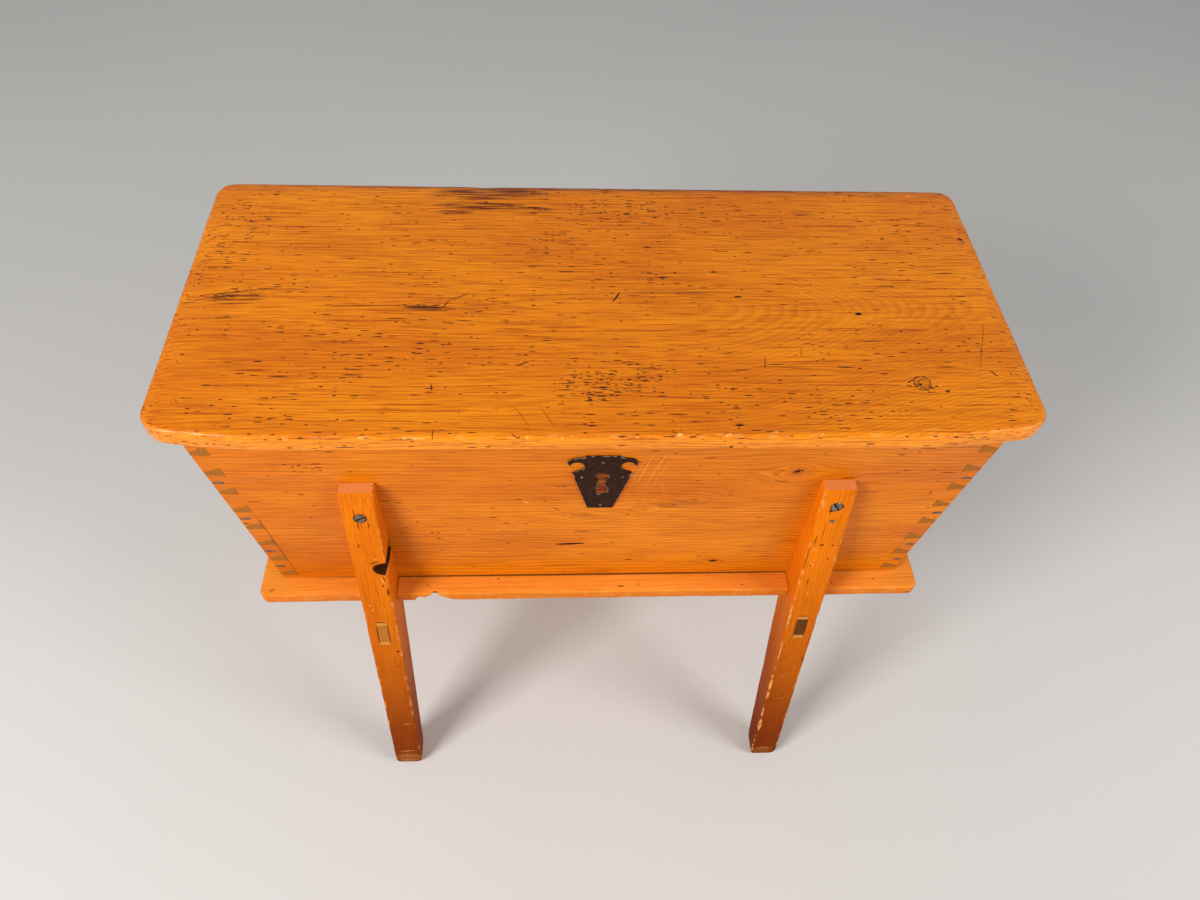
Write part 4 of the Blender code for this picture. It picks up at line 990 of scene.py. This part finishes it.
# Dark inside the knot hollow: dark wood and painted shade
LEFT_LEG_SHADED_PITS = mm((-270, 479.5, 17.5, 12.2, 95, 80))
LEFT_LEG_SCARS = mm(
    (-279, 499, 5, 1, 60, 20, 20), (-276, 456, 1.2, 9, 55, 20, 15), (-299, 408, 1.6, 2, 80, 30),
    (-297, 398, 1.2, 1.8, 80, 30), (-281, 120, 7, 1, 70, 20, 4), (-289, 42, 15, 1.6, 55, 10, 6),
    (-287, 28, 18, 1.2, 50, 10, -4), (-290, 13, 17, 2, 55, 10, 2), (-288, 22, 23, 17, 18, 0),
)
RIGHT_LEG_MARKS = mm(*TENON_LINES, at=(LEG_X, TENON_LEVEL)) + mm(
    (0, 0, 9, 8.6, 92, 60), (6, 1, 4, 4, 90, 30, 30), (-5, -6, 4, 3, 85, 30),
    at=right_screw,
) + mm((0, 0, 3.6, 3.4, 80, 40), at=(right_screw[0], nail_z)) + mm(
    (284.7, 516.5, 3.6, 1.5, 95, 40, 8), (299.2, 515.3, 3, 1.2, 85, 30), (274.5, 525, 1.2, 12, 70, 20, -2),
    (282, 540, 0.7, 30, 45, 10), (295, 545, 0.6, 26, 40, 10), (270, 490, 1, 30, 60, 20),
    (277.5, 477, 2, 1.6, 80, 30),
)
RIGHT_LEG_SCARS = mm(
    (278, 508.1, 3.6, 1.4, 80, 30, -20), (280.5, 478.1, 2, 1.8, 95, 40), (271.5, 590, 2, 9, 45, 20, 6),
    (285, 420, 1.6, 4, 60, 30), (285, 230, 9, 0.8, 55, 20, 40), (288, 170, 10, 0.9, 50, 20, 6),
    (290, 140, 1.6, 1.4, 90, 40), (288, 26, 19, 1.1, 45, 10, 3), (270, 208, 2.6, 16, 90, 30),
    (270, 180, 2.4, 10, 90, 30), (271, 96, 3, 20, 90, 30), (270, 130, 2, 12, 80, 30),
    (270, 290, 1.4, 26, 70, 20), (269.5, 370, 1.4, 22, 70, 20), (284, 18, 20, 15, 15, 0),
)
LEG_MARKS = {
    "front_left": dict(marks=LEFT_LEG_MARKS, scars=LEFT_LEG_SCARS, shaded_pits=LEFT_LEG_SHADED_PITS),
    "front_right": dict(marks=RIGHT_LEG_MARKS, scars=RIGHT_LEG_SCARS),
}
for place, (leg_x, sign, seed, chip, _, grain_seed, wear) in LEGS.items():
    node = place + "_leg"
    material = wood(
        node + "_pine", LEG_PINE, (0, -sign * sin(GRAIN_LEAN), cos(GRAIN_LEAN)), X, (0.02, 0.1),
        0.0034, seed=grain_seed, plane="xz", face=(0, sign, 0), dashes=0.018, wear=wear, gloss=0.38,
        streaks=0.5, thread=520, specular=0.02, **LEG_MARKS.get(place, {}),
    )
    near, far = sorted((0, sign * (FACE + LEG_GAP)))
    screw_z = screw_point(node + "_screw")[1]
    cutters = [
        block((leg_x - LEG_WIDTH, near, LEG_SHOULDER), (leg_x + LEG_WIDTH, far, 0.8)),
        mortise(leg_x, sign),
        turned(SCREW_HOLE, leg_spot(leg_x, sign, screw_z), leg_outward(sign)),
    ]
    if place == "front_left":
        cutters += [lump(*parts) for parts in KNOT_LUMPS]
    if place == "front_right":
        cutters.append(turned(NAIL_HOLE, leg_spot(leg_x, sign, nail_z), leg_outward(sign)))
    solid = carve(leg_solid(leg_x, sign, seed, chip), cutters)

    def arris(point):
        aside = LEG_WIDTH / 2 - abs(point.x - leg_x)
        behind = leg_front(point.z) - abs(point.y)
        return min(1.0, max(0.0, 1.15 - hypot(max(aside, 0), max(behind, 0)) / ARRIS_WIDTH))

    mark_edges(solid, arris)
    put(node + "_worn", solid, material, node, sharp=35)

# Bearers, battens and wedges
# Tenon end colours; the right one is painted far darker than the left, as shade
TENON_ENDS = {
    "left": dict(end=(0.46, 0.165, 0.022), end_dark=(0.22, 0.074, 0.01)),
    "right": dict(end=(0.12, 0.036, 0.005), end_dark=(0.05, 0.015, 0.002)),
}
BATTEN_PINE = dict(LID_PINE, pale=(0.55, 0.26, 0.085), honey=(0.45, 0.2, 0.065), side=None)
for side, sign in SIDES:
    bearer_wood = wood(
        side + "_bearer_pine", dict(LEG_PINE, **TENON_ENDS[side]), Y, Z, (0.3, sign * 0.35), 0.0036,
        seed=23.0 + sign, dashes=0.03, gloss=0.45,
    )
    put_eased(side + "_bearer", bearer_wood, 0.0006)
    batten_wood = wood(
        side + "_batten_pine", BATTEN_PINE, Y, X, (sign * 0.39, 0.62), 0.004, seed=31.0 + sign, dashes=0.02,
        gloss=0.5,
    )
    put_eased(side + "_lid_batten", batten_wood, 0.0012, body=LID)
wedge_wood = wood("wedge_pine", WEDGE_PINE, Y, Z, (0.3, 0.25), 0.003, seed=41.0, dashes=0.0, gloss=0.45)

# Metal
iron = metal("dark_iron", IRON, shine=0.4, glint=0.62, specular=0.08)
nail_iron = metal("nail_iron", NAIL_IRON, scale=1.6, gloss=0.3, shine=0.55, glint=0.46, specular=0.12)
steel = metal("old_steel", STEEL, scale=1.3, gloss=0.32, shine=0.7, glint=0.48)
SCREW_HEAD, SCREW_SHANK, SCREW_DOME, SCREW_SLOT = 0.007, 0.00294, 0.0015, 0.0021
PIN_SHANK, PIN_RISE = 0.0009, 0.001
DOME_ANGLES = (0.3, 0.6, 0.9, 1.2)


def screw(node, point, outward, turn):
    """Slotted screw with a smooth domed head, standing for a CAD screw."""
    low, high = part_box(node)
    length = 0.9 * (high - low).length
    profile = [
        (0, -length), (SCREW_SHANK, SCREW_SHANK - length), (SCREW_SHANK, SCREW_SHANK - SCREW_HEAD),
        (SCREW_HEAD, -0.0004), (SCREW_HEAD, 0.0),
    ]
    profile += [(SCREW_HEAD * cos(a), SCREW_DOME * sin(a)) for a in DOME_ANGLES] + [(0, SCREW_DOME)]
    bed = SCREW_DOME - SCREW_SLOT * 0.8
    end = (2 * SCREW_HEAD, SCREW_SLOT / 2, SCREW_DOME + SCREW_SLOT)
    groove = block((-end[0], -end[1], bed), end)
    groove.transform(upright_on(point, outward) @ Matrix.Rotation(turn, 4, "Z"))
    solid = carve(turned(profile, point, outward, 32), [groove])
    axis = Vector(outward).normalized()
    mark_edges(solid, lambda spot: float(abs((spot - Vector(point)).dot(axis) - bed) < 0.0001), "slot")
    put(node + "_turned", solid, steel, node)


for place, (leg_x, sign, _, _, turn, _, _) in LEGS.items():
    node = place + "_leg_screw"
    screw(node, leg_spot(leg_x, sign, screw_point(node)[1]), leg_outward(sign), turn)

put_eased("escutcheon_plate", iron, 0.0009, shortest=0.002)
for place in ("top", "left", "right", "foot"):
    node = "escutcheon_pin_" + place
    low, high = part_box(node)
    head = (high.x - low.x) / 2
    point = ((low.x + high.x) / 2, low.y, (low.z + high.z) / 2)
    profile = [(0, low.y - high.y), (PIN_SHANK, low.y - high.y + 0.001), (PIN_SHANK, -PIN_RISE)]
    profile += [(head * cos(a), PIN_RISE * (sin(a) - 1)) for a in (0.0, *DOME_ANGLES)] + [(0, 0)]
    put(node + "_domed", turned(profile, point, FRONTWARD, 20), nail_iron, node)

for side, _ in SIDES:
    for number in range(1, 5):
        put_eased(f"front_{side}_corner_nail_{number}", nail_iron, 0.0004, shortest=0.001)
    for part, body in (("leaf", STAND), ("strap", LID)):
        put_eased(f"{side}_hinge_{part}", iron, 0.0003, 0.0, 0.0025, body, 18)

CARRIED_LOOKS = (("wedge", wedge_wood), ("batten", steel), ("nail", nail_iron), ("", iron))
for name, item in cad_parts.items():
    if not item.hide_render:
        for slot in item.material_slots:
            slot.material = next(look for word, look in CARRIED_LOOKS if word in name)

# Stage
LAMP_TARGET = Vector((0.0, 0.0, 0.5))
ground = Graph("pale_floor")
cloud, grain = ground.noise(ground.spot, 1.2, 3.0), ground.noise(ground.spot, 60)
floor_colour = ground.mix(cloud, (0.63, 0.63, 0.63), (0.69, 0.685, 0.68))
ground.finish(floor_colour, grain * 0.1 + 0.7, grain, 0.0003, **{"Specular IOR Level": 0.0})
bpy.ops.mesh.primitive_plane_add(size=80)
floor = bpy.context.object
floor.name = "floor"
floor.data.materials.append(ground.material)
floor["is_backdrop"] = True

world = bpy.data.worlds.new("studio")
scene.world = world
world.use_nodes = True
sky = world.node_tree.nodes["Background"]
sky.inputs["Color"].default_value = (0.98, 0.98, 0.97, 1.0)
sky.inputs["Strength"].default_value = 0.34

for name, place, size, power, colour in (
    ("key", (-2.2, -1.9, 2.3), 1.2, 100, (1.0, 0.97, 0.92)),
    ("fill", (2.5, -1.5, 2.0), 1.4, 50, (1.0, 0.97, 0.93)),
):
    light = bpy.data.lights.new(name, "AREA")
    light.size, light.energy, light.color = size, power, colour
    lamp = add(name, light)
    lamp.location = place
    lamp.rotation_euler = (LAMP_TARGET - Vector(place)).to_track_quat("-Z", "Y").to_euler()

level = Vector((cos(CAMERA_YAW), -sin(CAMERA_YAW), 0))
ahead = Vector((sin(CAMERA_YAW), cos(CAMERA_YAW), 0))
forward = ahead * cos(CAMERA_PITCH) - Vector(Z) * sin(CAMERA_PITCH)
upright = level.cross(forward)
right = level * cos(CAMERA_ROLL) + upright * sin(CAMERA_ROLL)
up = upright * cos(CAMERA_ROLL) - level * sin(CAMERA_ROLL)
camera_data = bpy.data.cameras.new("camera")
camera_data.lens = CAMERA_LENS
camera = add("camera", camera_data)
camera.matrix_world = Matrix.Translation(CAMERA_PLACE) @ Matrix((right, up, -forward)).transposed().to_4x4()
scene.camera = camera
scene.view_settings.view_transform = "Standard"

low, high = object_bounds()
